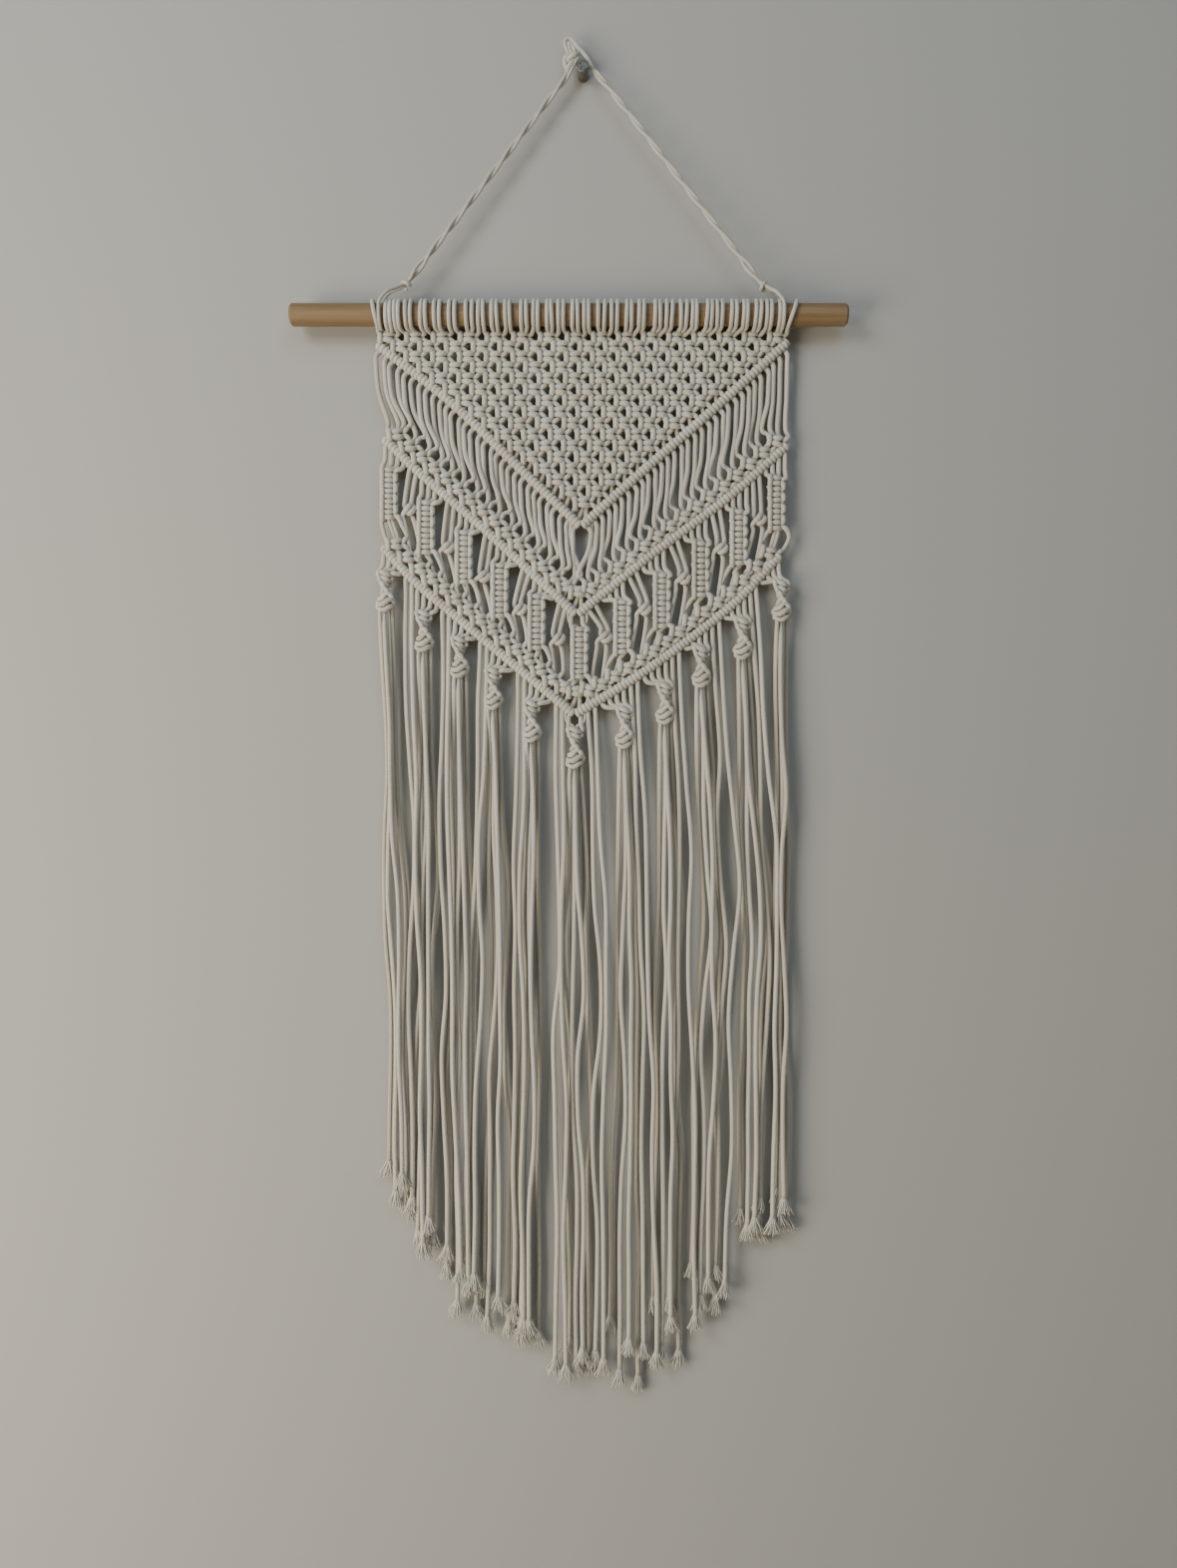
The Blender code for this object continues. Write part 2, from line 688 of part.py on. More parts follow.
def tube(name, points, radii, across, step, bend=None, bend_step=None):
    """Two twisted plies as a closed tube: the section's long side turns once in two half twists."""
    line = smooth_path(points)
    along = np.concatenate([[0], np.cumsum(np.linalg.norm(np.diff(line, axis=0), axis=1))])
    stations = [0.0]
    while stations[-1] < along[-1]:
        fine = bend and bend[0] < stations[-1] < bend[1]
        stations.append(stations[-1] + (bend_step if fine else step))
    stations = np.array(stations) * along[-1] / stations[-1]
    centres = np.stack([np.interp(stations, along, line[:, k]) for k in range(3)], axis=1)
    tangents = np.gradient(centres, axis=0)
    tangents /= np.linalg.norm(tangents, axis=1)[:, None]
    normal = np.cross(tangents, across)
    normal /= np.linalg.norm(normal, axis=1)[:, None]
    other = np.cross(tangents, normal)
    sides = len(radii)
    made = []
    for s, centre, u, v in zip(stations, centres, normal, other):
        for k, radius in enumerate(radii):
            angle = 2 * math.pi * k / sides + math.pi * s / CORD_HALF_TWIST
            made.append(centre + radius * (math.cos(angle) * u + math.sin(angle) * v))
    faces = [list(range(sides))[::-1]]
    for n in range(len(stations) - 1):
        for k in range(sides):
            a, b = n * sides + k, n * sides + (k + 1) % sides
            faces.append([a, b, b + sides, a + sides])
    faces.append([len(made) - sides + k for k in range(sides)])
    return make_object(name, made, faces)


def lump(name, centre, halves, rings=4, sides=8):
    """A rounded lump of cord: a coarse ball stretched to its half sizes."""
    bm = bmesh.new()
    bmesh.ops.create_uvsphere(bm, u_segments=sides, v_segments=rings, radius=1.0)
    points = [[c + h * v for c, h, v in zip(centre, halves, vert.co)] for vert in bm.verts]
    faces = [[vert.index for vert in face.verts] for face in bm.faces]
    bm.free()
    return make_object(name, points, faces)


def ear():
    """A closed ring of cord above the knot."""
    turns, sides = 8, 5
    made = []
    for n in range(turns):
        a = 2 * math.pi * n / turns
        for k in range(sides):
            b = 2 * math.pi * k / sides
            out = 1 + EAR_CORD * math.cos(b) / EAR_RADIUS[0]
            x = EAR_CENTRE[0] + EAR_RADIUS[0] * math.cos(a) * out
            z = EAR_CENTRE[2] + (EAR_RADIUS[1] + EAR_CORD * math.cos(b)) * math.sin(a)
            made.append((x, EAR_CENTRE[1] + EAR_CORD * math.sin(b), z))
    faces = []
    for n in range(turns):
        for k in range(sides):
            a, b = n * sides + k, n * sides + (k + 1) % sides
            c, d = ((n + 1) % turns) * sides + (k + 1) % sides, ((n + 1) % turns) * sides + k
            faces.append([a, b, c, d])
    return make_object("ear", made, faces)


def hanger_loop(name, knot, x, inward):
    """Cord from a leg's knot over the front of the dowel, under it and up behind to the knot."""
    points = [knot, (knot[0] - 5.2 * inward, knot[1] - 4.0, knot[2] - 2.8)]
    points.append((x + 5.6 * inward, knot[1] - 9.6, DOWEL_Z + 13.2))
    points += [around_dowel(x + shift * inward, turn, radius) for shift, turn, radius in HANGER_LOOP]
    points.append((x + 4.6 * inward, knot[1] + 3.6, DOWEL_Z + 16.6))
    points.append((knot[0] - 3.0 * inward, knot[1] + 1.6, knot[2] - 1.0))
    return tube(name, points, CORD_LOOP_RADII, (1.0, 0.0, 0.0), CORD_LOOP_STEP)


def joined(name, pieces, surface):
    """The pieces as one body."""
    body, others = pieces[0], pieces[1:]
    for other in others:
        join = body.modifiers.new(other.name, "BOOLEAN")
        join.operation = "UNION"
        join.solver = "EXACT"
        join.object = other
    bpy.context.view_layer.update()
    graph = bpy.context.evaluated_depsgraph_get()
    mesh = bpy.data.meshes.new_from_object(body.evaluated_get(graph))
    for piece in pieces:
        bpy.data.objects.remove(piece, do_unlink=True)
    mesh.materials.clear()
    mesh.materials.append(surface)
    made = bpy.data.objects.new(name, mesh)
    bpy.context.scene.collection.objects.link(made)
    return made


def hanger_cord(surface):
    left, right = CORD_PATH[0], CORD_PATH[-1]
    pieces = [
        tube("legs", CORD_PATH, CORD_RADII, (0.0, 1.0, 0.0), CORD_STEP, CORD_BEND, CORD_BEND_STEP),
        lump("left_knot", left, LEG_KNOT_HALVES),
        lump("right_knot", right, LEG_KNOT_HALVES),
        hanger_loop("left_loop", left, LOOP_LEFT_X, 1),
        hanger_loop("right_loop", right, LOOP_RIGHT_X, -1),
        *(lump(f"nail_knot_{k}", *row) for k, row in enumerate(NAIL_KNOT)),
        ear(),
    ]
    return joined("hanger_cord", pieces, surface)


def lathe(name, profile, sides, place, surface):
    """A closed solid of revolution, from (distance, radius) rows, set down by place()."""
    made = []
    for distance, radius in profile:
        for k in range(sides):
            angle = 2 * math.pi * k / sides
            made.append(place(distance, radius * math.cos(angle), radius * math.sin(angle)))
    faces = [list(range(sides))[::-1]]
    for n in range(len(profile) - 1):
        for k in range(sides):
            a, b = n * sides + k, n * sides + (k + 1) % sides
            faces.append([a, b, b + sides, a + sides])
    faces.append([len(made) - sides + k for k in range(sides)])
    return make_object(name, made, faces, surface)


def dowel(surface):
    half, edge = DOWEL_LENGTH / 2, DOWEL_RADIUS - DOWEL_CHAMFER
    profile = (
        (-half, edge),
        (-half + DOWEL_CHAMFER, DOWEL_RADIUS),
        (half - DOWEL_CHAMFER, DOWEL_RADIUS),
        (half, edge),
    )

    def place(d, u, v):
        return DOWEL_X + d, DOWEL_Y + u, DOWEL_Z + v

    return lathe("dowel", profile, DOWEL_SIDES, place, surface)


def wall_nail(surface):
    return lathe("wall_nail", NAIL_PROFILE, NAIL_SIDES, lambda d, u, v: (u, -d, v), surface)


clear_scene()
cotton = material("cotton_panel", (0.80, 0.76, 0.66), 0.9)
fringe_cotton = material("cotton_fringe", (0.82, 0.78, 0.69), 0.92)
cord_cotton = material("cotton_hanger", (0.84, 0.80, 0.71), 0.9)
wood = material("dowel_wood", (0.46, 0.31, 0.17), 0.6)
metal = material("nail_metal", (0.16, 0.16, 0.17), 0.4, 1.0)

dowel(wood)
wall_nail(metal)
hanger_cord(cord_cotton)
panel = knotted_panel()
make_object("knotted_panel", panel.points, panel.faces(), cotton)
strands = fringe()
make_object("fringe", strands.points, strands.faces(), fringe_cotton)
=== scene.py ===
import bpy
import numpy as np
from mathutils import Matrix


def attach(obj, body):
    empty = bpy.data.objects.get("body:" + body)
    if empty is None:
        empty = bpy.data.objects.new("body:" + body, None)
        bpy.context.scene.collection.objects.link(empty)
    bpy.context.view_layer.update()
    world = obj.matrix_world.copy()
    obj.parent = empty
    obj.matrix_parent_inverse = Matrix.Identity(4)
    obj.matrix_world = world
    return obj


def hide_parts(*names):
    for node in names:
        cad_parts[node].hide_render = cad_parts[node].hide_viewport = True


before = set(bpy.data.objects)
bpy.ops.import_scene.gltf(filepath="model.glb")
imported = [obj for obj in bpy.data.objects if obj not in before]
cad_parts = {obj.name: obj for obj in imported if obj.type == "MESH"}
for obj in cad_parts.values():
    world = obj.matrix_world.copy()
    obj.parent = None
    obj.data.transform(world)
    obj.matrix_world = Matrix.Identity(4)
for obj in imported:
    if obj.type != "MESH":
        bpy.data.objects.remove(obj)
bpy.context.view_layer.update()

# Lengths in the tables below are in millimetres. x runs to the right, z up, and the wall is y = 0.
mm = 0.001
strandCount = 64
apex = strandCount // 2
panelY = -6.5
random = np.random.default_rng(7)
# A row of knots over a bar has 31 of them, the middle one at the bar's tip.
lastKnot = apex - 2
tipKnot = lastKnot // 2

# How finely cords are drawn: the least gap between rows, the step along each path, the sides round it, and
# the radius by which the map counts turns.
drawing = {
    "leastGap": 0.5,
    "panelStep": 1.5,
    "fringeStep": 4.0,
    "hangerStep": 1.2,
    "panelSides": 7,
    "fringeSides": 8,
    "yarnSides": 4,
    "hangerSides": 10,
    "mapRadius": 1.75,
}

studio = {
    "eye": (3.96, -859.0, -516.0),
    "lens": 27.0,
    "sensor": 36.0,
    "aim": (0.0, 0.0, -0.5),
    "wallTint": (0.41, 0.402, 0.378),
    "floorTint": (0.62, 0.61, 0.58),
    "floorZ": -1900.0,
    "wallY": 1.2,
    "wallTop": 1.5,
    "reach": 3.0,
    # each lamp: name, place, size, watts and tint
    "lamps": (
        ("key", (-1.1, -1.15, 0.25), 0.7, 14.2, (0.96, 0.98, 1.0)),
        ("low", (-1.15, -0.85, -0.9), 0.8, 20.0, (1.0, 0.90, 0.72)),
        ("cool", (0.5, -1.5, 0.9), 1.2, 9.0, (0.46, 0.73, 1.0)),
    ),
    "roomTint": (1.0, 0.88, 0.70),
    "roomLight": 0.22,
}


def setCamera():
    data = bpy.data.cameras.new("camera")
    data.lens = studio["lens"]
    data.sensor_width = studio["sensor"]
    camera = bpy.data.objects.new("camera", data)
    camera.location = [v * mm for v in studio["eye"]]
    camera.rotation_euler = (np.pi / 2, 0.0, 0.0)
    bpy.context.scene.collection.objects.link(camera)
    bpy.context.scene.camera = camera


# A square area light that faces the middle of the piece.
def softLight(name, place, size, watts, tint):
    data = bpy.data.lights.new(name, "AREA")
    data.size = size
    data.energy = watts
    data.color = tint
    lamp = bpy.data.objects.new(name, data)
    lamp.location = place
    away = np.array(place) - np.array(studio["aim"])
    flat = np.hypot(away[0], away[1])
    lamp.rotation_euler = (np.arctan2(flat, away[2]), 0.0, np.arctan2(away[0], -away[1]))
    bpy.context.scene.collection.objects.link(lamp)


def setRoom():
    world = bpy.data.worlds.new("room")
    world.use_nodes = True
    background = world.node_tree.nodes["Background"]
    background.inputs["Color"].default_value = (*studio["roomTint"], 1.0)
    background.inputs["Strength"].default_value = studio["roomLight"]
    bpy.context.scene.world = world


def newMaterial(name):
    material = bpy.data.materials.new(name)
    material.use_nodes = True
    tree = material.node_tree
    return material, tree.nodes["Principled BSDF"], tree


# A new node: a value named like one of its settings sets that, and any other names an input.
def addNode(tree, kind, links=(), **values):
    node = tree.nodes.new(kind)
    for key, value in values.items():
        if hasattr(node, key):
            setattr(node, key, value)
        else:
            node.inputs[key.replace("_", " ")].default_value = value
    for socket, source in links:
        tree.links.new(source, node.inputs[socket])
    return node


def mathNode(tree, operation, a, b=None, clamp=False):
    node = tree.nodes.new("ShaderNodeMath")
    node.operation = operation
    node.use_clamp = clamp
    for k, value in enumerate((a, b)):
        if value is None:
            continue
        if isinstance(value, (int, float)):
            node.inputs[k].default_value = value
        else:
            tree.links.new(value, node.inputs[k])
    return node.outputs[0]


def ramp(tree, source, stops):
    node = tree.nodes.new("ShaderNodeValToRGB")
    tree.links.new(source, node.inputs[0])
    band = node.color_ramp
    while len(band.elements) < len(stops):
        band.elements.new(0.5)
    for element, (place, tint) in zip(band.elements, stops):
        element.position = place
        element.color = (*tint, 1.0)
    return node.outputs[0]


# A smooth curve through rows of (x, y, z, radius). Between two rows it is a cubic whose end slopes are
# the neighbours' chords, weighted by the square roots of the distances, read at even steps.
def smoothPath(rows, step):
    rows = np.asarray(rows, float)
    gap = np.linalg.norm(np.diff(rows[:, :3], axis=0), axis=1)
    rows = rows[np.concatenate([[True], gap > drawing["leastGap"]])]
    length = np.linalg.norm(np.diff(rows[:, :3], axis=0), axis=1)
    root = np.sqrt(length)[:, None]
    slope = np.diff(rows, axis=0) / root
    inner = (slope[:-1] * root[1:] + slope[1:] * root[:-1]) / (root[:-1] + root[1:])
    tangent = np.vstack([slope[:1], inner, slope[-1:]])
    count = np.maximum(1, np.round(length / step)).astype(int)
    part = np.repeat(np.arange(len(count)), count)
    within = np.arange(count.sum()) - np.repeat(np.cumsum(count) - count, count)
    t = (within / np.repeat(count, count))[:, None]
    a, b = rows[part], rows[part + 1]
    m, n = tangent[part] * root[part], tangent[part + 1] * root[part]
    curve = a + t * (m + t * (3 * (b - a) - 2 * m - n + t * (2 * (a - b) + m + n)))
    return np.vstack([curve, rows[-1:]])


# Normals carried along unit tangents without twisting. Each is the one before it turned by the least
# rotation between two tangents, and the rotations are multiplied up by doubling steps.
def carriedNormals(tangent):
    a, b = tangent[:-1], tangent[1:]
    v = np.cross(a, b)
    c = np.einsum("ij,ij->i", a, b)
    skew = np.zeros((len(v), 3, 3))
    skew[:, 2, 1], skew[:, 0, 2], skew[:, 1, 0] = v[:, 0], v[:, 1], v[:, 2]
    skew -= np.swapaxes(skew, 1, 2)
    turn = np.eye(3) + skew + skew @ skew / np.maximum(1.0 + c, 1e-3)[:, None, None]
    turn = np.concatenate([np.eye(3)[None], turn])
    step = 1
    while step < len(turn):
        turn[step:] = turn[step:] @ turn[:-step]
        step *= 2
    start = np.cross(tangent[0], (0.31, 0.83, 0.46))
    normal = turn @ (start / np.linalg.norm(start))
    normal -= tangent * np.einsum("ij,ij->i", normal, tangent)[:, None]
    return normal / np.linalg.norm(normal, axis=1)[:, None]


def unit(rows):
    return rows / np.maximum(np.linalg.norm(rows, axis=-1, keepdims=True), 1e-9)


# Round cords along many paths in one mesh. A ring of points stands across each path point at the
# path's radius, rings are joined by four-sided faces, and each end is closed by a face of its own.
# The map runs once round the cord in u. In v it counts the length along all cords in turns of one radius.
def cordPiece(name, paths, sides, material, tones=None):
    counts = np.array([len(path) for path in paths])
    rows = np.vstack(paths)
    owner = np.repeat(np.arange(len(paths)), counts)
    slopes = [np.gradient(path[:, :3], axis=0) for path in paths]
    tangent = unit(np.vstack(slopes))
    normal = carriedNormals(tangent)
    other = np.cross(tangent, normal)
    angle = 2 * np.pi * np.arange(sides) / sides
    ring = np.cos(angle)[:, None] * normal[:, None, :] + np.sin(angle)[:, None] * other[:, None, :]
    points = rows[:, None, :3] + rows[:, None, 3:4] * ring
    gaps = np.linalg.norm(np.diff(rows[:, :3], axis=0), axis=1)
    gaps[owner[1:] != owner[:-1]] = 0.0
    along = np.concatenate([[0.0], np.cumsum(gaps)]) / (2 * np.pi * drawing["mapRadius"])
    first = np.flatnonzero(owner[1:] == owner[:-1])
    k = np.arange(sides)
    near, far = first[:, None] * sides, (first[:, None] + 1) * sides
    quads = np.stack([near + k, near + (k + 1) % sides, far + (k + 1) % sides, far + k], axis=-1)
    heads = np.cumsum(counts) - counts
    tails = np.cumsum(counts) - 1
    caps = np.concatenate([heads[:, None] * sides + k[::-1], tails[:, None] * sides + k])
    loops = np.concatenate([quads.reshape(-1), caps.reshape(-1)])
    starts = np.concatenate([np.arange(0, quads.size, 4), quads.size + sides * np.arange(len(caps))])
    sideU = np.stack([k, k + 1, k + 1, k], axis=-1) / sides
    sideV = np.stack([along[first], along[first], along[first + 1], along[first + 1]], axis=-1)
    u = np.broadcast_to(sideU[None], (len(first), sides, 4))
    v = np.broadcast_to(sideV[:, None, :], (len(first), sides, 4))
    capV = along[np.concatenate([heads, tails])]
    uv = np.zeros((len(loops), 2))
    uv[: quads.size, 0], uv[: quads.size, 1] = u.reshape(-1), v.reshape(-1)
    uv[quads.size :, 0], uv[quads.size :, 1] = 0.5, np.repeat(capV, sides)
    mesh = bpy.data.meshes.new(name)
    mesh.vertices.add(points.shape[0] * sides)
    mesh.vertices.foreach_set("co", (points * mm).reshape(-1))
    mesh.loops.add(len(loops))
    mesh.loops.foreach_set("vertex_index", loops.astype(np.int32))
    mesh.polygons.add(len(starts))
    mesh.polygons.foreach_set("loop_start", starts.astype(np.int32))
    mesh.polygons.foreach_set("use_smooth", np.ones(len(starts), bool))
    mesh.uv_layers.new(name="cord").data.foreach_set("uv", uv.reshape(-1))
    tones = random.random(len(paths)) if tones is None else np.asarray(tones)
    tone = mesh.attributes.new("tone", "FLOAT", "POINT")
    tone.data.foreach_set("value", np.repeat(tones[owner], sides))
    mesh.update(calc_edges=True)
    mesh.materials.append(material)
    piece = bpy.data.objects.new(name, mesh)
    bpy.context.scene.collection.objects.link(piece)
    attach(piece, "root")
    print(name, len(paths), "cords,", quads.size // 2 + caps.size - 2 * len(caps), "triangles")
    return piece


cotton = {
    "light": (0.60, 0.575, 0.51),
    "dark": (0.49, 0.455, 0.385),
    # deep is the tint of painted shade. It is mixed in over the y span below, more towards the wall, where
    # shade falls among the cords.
    "deep": (0.42, 0.37, 0.285),
    "paintedShadeFrom": -0.0085,
    "paintedShadeTo": -0.0035,
    "plies": 3.0,
    "lean": 0.62,
    "roughness": 0.93,
    "specular": 0.2,
    "sheen": 0.3,
    "sheenRoughness": 0.6,
    "fibreBump": 0.45,
}


def noise(tree, source, **values):
    return addNode(tree, "ShaderNodeTexNoise", [("Vector", source)], **values)


# Cotton cord: a cream that wanders in slow patches and from cord to cord, with painted shade that makes it
# darker and browner near the wall, slanting plies in the cord's own map, and fine fibres over them.
def cottonMaterial(name, plyBump, warmth=0.0, paintedShadeShare=0.75):
    material, shader, tree = newMaterial(name)
    place = tree.nodes.new("ShaderNodeTexCoord")
    spot = place.outputs["Object"]
    tone = addNode(tree, "ShaderNodeAttribute", attribute_name="tone")
    patch = noise(tree, spot, Scale=60.0, Detail=3.0)
    fleck = noise(tree, spot, Scale=1100.0, Detail=2.0)
    cordShare = mathNode(tree, "MULTIPLY", tone.outputs["Fac"], 0.4)
    patchShare = mathNode(tree, "MULTIPLY", patch.outputs["Fac"], 0.4)
    fleckShare = mathNode(tree, "MULTIPLY", fleck.outputs["Fac"], 0.3)
    mixed = mathNode(tree, "ADD", cordShare, patchShare)
    mixed = mathNode(tree, "ADD", mixed, fleckShare, clamp=True)
    light = np.array(cotton["light"]) * (1.0, 1.0 - 0.01 * warmth, 1.0 - 0.04 * warmth)
    dark = np.array(cotton["dark"]) * (1.0, 1.0 - 0.02 * warmth, 1.0 - 0.07 * warmth)
    cream = ramp(tree, mixed, [(0.2, tuple(dark)), (0.8, tuple(light))])
    # Painted shade: the nearer a cord lies to the wall in object y, the more it is mixed towards the darker,
    # browner deep tint.
    depth = addNode(tree, "ShaderNodeSeparateXYZ", [("Vector", spot)])
    span = {"From_Min": cotton["paintedShadeFrom"], "From_Max": cotton["paintedShadeTo"]}
    paintedShade = addNode(tree, "ShaderNodeMapRange", [("Value", depth.outputs["Y"])], **span)
    paintedShade = mathNode(tree, "MULTIPLY", paintedShade.outputs[0], paintedShadeShare)
    blend = addNode(tree, "ShaderNodeMix", [("Factor", paintedShade)], data_type="RGBA")
    tree.links.new(cream, blend.inputs[6])
    blend.inputs[7].default_value = (*cotton["deep"], 1.0)
    tree.links.new(blend.outputs[2], shader.inputs["Base Color"])
    wound = addNode(tree, "ShaderNodeSeparateXYZ", [("Vector", place.outputs["UV"])])
    aroundShare = mathNode(tree, "MULTIPLY", wound.outputs["X"], cotton["plies"])
    alongShare = mathNode(tree, "MULTIPLY", wound.outputs["Y"], cotton["plies"] / cotton["lean"])
    slant = mathNode(tree, "ADD", aroundShare, alongShare)
    ply = mathNode(tree, "ABSOLUTE", mathNode(tree, "SINE", mathNode(tree, "MULTIPLY", slant, np.pi)))
    fibre = noise(tree, spot, Scale=2600.0, Detail=3.0)
    plies = addNode(tree, "ShaderNodeBump", [("Height", ply)], Strength=plyBump, Distance=0.0005)
    over = [("Height", fibre.outputs["Fac"]), ("Normal", plies.outputs["Normal"])]
    bump = addNode(tree, "ShaderNodeBump", over, Strength=cotton["fibreBump"], Distance=0.0002)
    tree.links.new(bump.outputs["Normal"], shader.inputs["Normal"])
    shader.inputs["Roughness"].default_value = cotton["roughness"]
    shader.inputs["Specular IOR Level"].default_value = cotton["specular"]
    shader.inputs["Sheen Weight"].default_value = cotton["sheen"]
    shader.inputs["Sheen Roughness"].default_value = cotton["sheenRoughness"]
    return material


wood = {
    "tints": (
        (0.0, (0.115, 0.067, 0.028)),
        (0.35, (0.20, 0.125, 0.056)),
        (0.7, (0.255, 0.167, 0.080)),
        (1.0, (0.32, 0.222, 0.116)),
    ),
    "grain": (9.0, 330.0, 330.0),
    "pores": (60.0, 2400.0, 2400.0),
    "roughness": 0.55,
}


# Turned pine: noise drawn out along the dowel for the grain, and a finer one for the pores.
def woodMaterial():
    material, shader, tree = newMaterial("pine")
    place = tree.nodes.new("ShaderNodeTexCoord")
    spot = [("Vector", place.outputs["Object"])]
    drawn = addNode(tree, "ShaderNodeMapping", spot, Scale=wood["grain"])
    grain = noise(tree, drawn.outputs[0], Scale=1.0, Detail=5.0, Distortion=0.6)
    fine = addNode(tree, "ShaderNodeMapping", spot, Scale=wood["pores"])
    pores = noise(tree, fine.outputs[0], Scale=1.0, Detail=2.0)
    grainShare = mathNode(tree, "MULTIPLY", grain.outputs["Fac"], 1.25)
    poreShare = mathNode(tree, "MULTIPLY", pores.outputs["Fac"], 0.35)
    mixed = mathNode(tree, "ADD", grainShare, poreShare)
    mixed = mathNode(tree, "SUBTRACT", mixed, 0.3, clamp=True)
    tree.links.new(ramp(tree, mixed, wood["tints"]), shader.inputs["Base Color"])
    bump = addNode(tree, "ShaderNodeBump", [("Height", pores.outputs["Fac"])], Strength=0.3, Distance=0.0002)
    tree.links.new(bump.outputs["Normal"], shader.inputs["Normal"])
    shader.inputs["Roughness"].default_value = wood["roughness"]
    return material


# Dull dark steel with a mottled surface.
def nailMaterial():
    material, shader, tree = newMaterial("steel")
    place = tree.nodes.new("ShaderNodeTexCoord")
    mottle = noise(tree, place.outputs["Object"], Scale=700.0, Detail=4.0)
    tint = ramp(tree, mottle.outputs["Fac"], [(0.35, (0.05, 0.048, 0.042)), (0.65, (0.22, 0.215, 0.20))])
    tree.links.new(tint, shader.inputs["Base Color"])
    rough = addNode(tree, "ShaderNodeMapRange", [("Value", mottle.outputs["Fac"])], To_Min=0.35, To_Max=0.6)
    tree.links.new(rough.outputs[0], shader.inputs["Roughness"])
    bump = addNode(tree, "ShaderNodeBump", [("Height", mottle.outputs["Fac"])], Strength=0.3, Distance=0.0003)
    tree.links.new(bump.outputs["Normal"], shader.inputs["Normal"])
    shader.inputs["Metallic"].default_value = 0.35
    return material


def dressNode(name, material):
    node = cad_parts[name]
    for slot in node.material_slots:
        slot.material = material


# The upper half of a square knot's four strands, in (right, front, up, radius). The lower half is its
# mirror image. The left strand makes both front crossings, and the right one the upright bead.
knotHalf = {
    "left": (
        (-4.6, 0.2, 2.9, 1.45),
        (-2.3, 1.7, 1.75, 1.5),
        (-0.6, 2.5, 1.8, 1.95),
        (1.8, 2.8, 2.05, 2.2),
        (4.1, 2.1, 2.45, 1.9),
        (5.8, 0.4, 2.3, 1.3),
        (6.7, -1.5, 0.9, 1.3),
    ),
    "leftCore": ((1.0, -0.6, 2.6, 1.4), (0.8, -0.7, 0.0, 1.3)),
    "rightCore": ((3.4, -0.5, 2.6, 1.4), (3.4, -0.6, 0.0, 1.3)),
    "right": (
        (5.6, -0.6, 0.5, 1.35),
        (4.4, -2.4, 0.6, 1.4),
        (1.8, -3.2, 1.2, 1.5),
        (-1.6, -3.0, 2.6, 1.5),
        (-3.9, -0.9, 4.1, 1.45),
        (-4.3, 1.4, 3.7, 1.75),
        (-4.3, 2.7, 2.2, 2.2),
        (-4.3, 3.0, 0.0, 2.05),
    ),
}
# The same for a sennit, where the right strand comes forward between knots and covers the rungs' ends.
chainHalf = {
    "left": (
        (-4.4, 0.6, 2.9, 1.4),
        (-2.9, 1.8, 1.95, 1.6),
        (-0.9, 2.5, 1.95, 1.9),
        (1.1, 2.5, 2.0, 1.85),
        (2.9, 1.2, 2.05, 1.45),
        (4.6, -0.6, 1.6, 1.3),
        (5.6, -0.4, 0.0, 1.35),
    ),
    "leftCore": ((-0.6, -0.6, 2.6, 1.4), (-0.6, -0.7, 0.0, 1.3)),
    "rightCore": ((1.8, -0.5, 2.6, 1.4), (1.8, -0.6, 0.0, 1.3)),
    "right": (
        (3.4, 0.6, 0.75, 1.25),
        (2.6, -2.2, 0.6, 1.4),
        (0.4, -3.0, 1.2, 1.5),
        (-2.4, -2.8, 2.6, 1.5),
        (-4.2, -0.9, 4.1, 1.4),
        (-4.9, 1.3, 3.7, 1.65),
        (-5.0, 2.7, 2.2, 1.95),
        (-5.0, 3.0, 0.0, 1.85),
    ),
}
# What leads into a knot from above: from a net's neighbours, from the knot over it, or from a bar.
knotLead = {
    "net": {
        "left": ((-6.2, -0.6, 5.0, 1.5), (-5.7, 0.1, 3.9, 1.5)),
        "right": ((10.0, 0.2, 4.4, 1.6), (8.5, 1.3, 2.9, 1.8), (7.0, 0.9, 1.4, 1.6)),
    },
    "chain": {"left": ((-6.0, 1.0, 4.0, 1.6),), "right": ((4.9, 2.6, 4.0, 1.95), (4.8, 2.4, 2.5, 1.85))},
    "free": {"left": ((-5.9, 0.0, 3.9, 1.6),), "right": ((8.2, 1.4, 2.9, 1.8), (6.9, 0.9, 1.4, 1.6))},
    "sennit": {"left": ((-5.9, 0.4, 3.9, 1.6),), "right": ((6.4, 1.9, 2.0, 1.85), (4.9, 1.8, 1.3, 1.6))},
}
# Two strands in an overhand knot, from above: each leaves on the other's side.
pairTied = (
    (
        (-2.7, 0.1, 6.6, 1.7),
        (-3.0, -0.8, 3.6, 1.6),
        (-1.4, -2.3, 1.4, 1.5),
        (1.8, -1.9, 2.0, 1.5),
        (3.9, 0.3, 2.6, 1.7),
        (4.2, 2.0, 0.4, 2.0),
        (2.6, 2.9, -2.0, 2.05),
        (0.0, 2.6, -3.0, 1.8),
        (-1.2, 0.4, -2.4, 1.4),
        (0.8, -1.2, -3.2, 1.4),
        (2.2, -0.4, -6.2, 1.7),
    ),
    (
        (2.6, -0.1, 6.6, 1.7),
        (2.2, 1.6, 4.2, 1.8),
        (0.4, 3.0, 2.4, 2.1),
        (-1.7, 2.9, 0.0, 2.1),
        (-3.9, 1.6, -1.6, 1.75),
        (-5.2, 0.4, -3.6, 1.65),
        (-4.9, 0.0, -6.8, 1.7),
    ),
)


def mirrored(rows):
    return [(u, d, -v, r) for u, d, v, r in reversed(rows)]


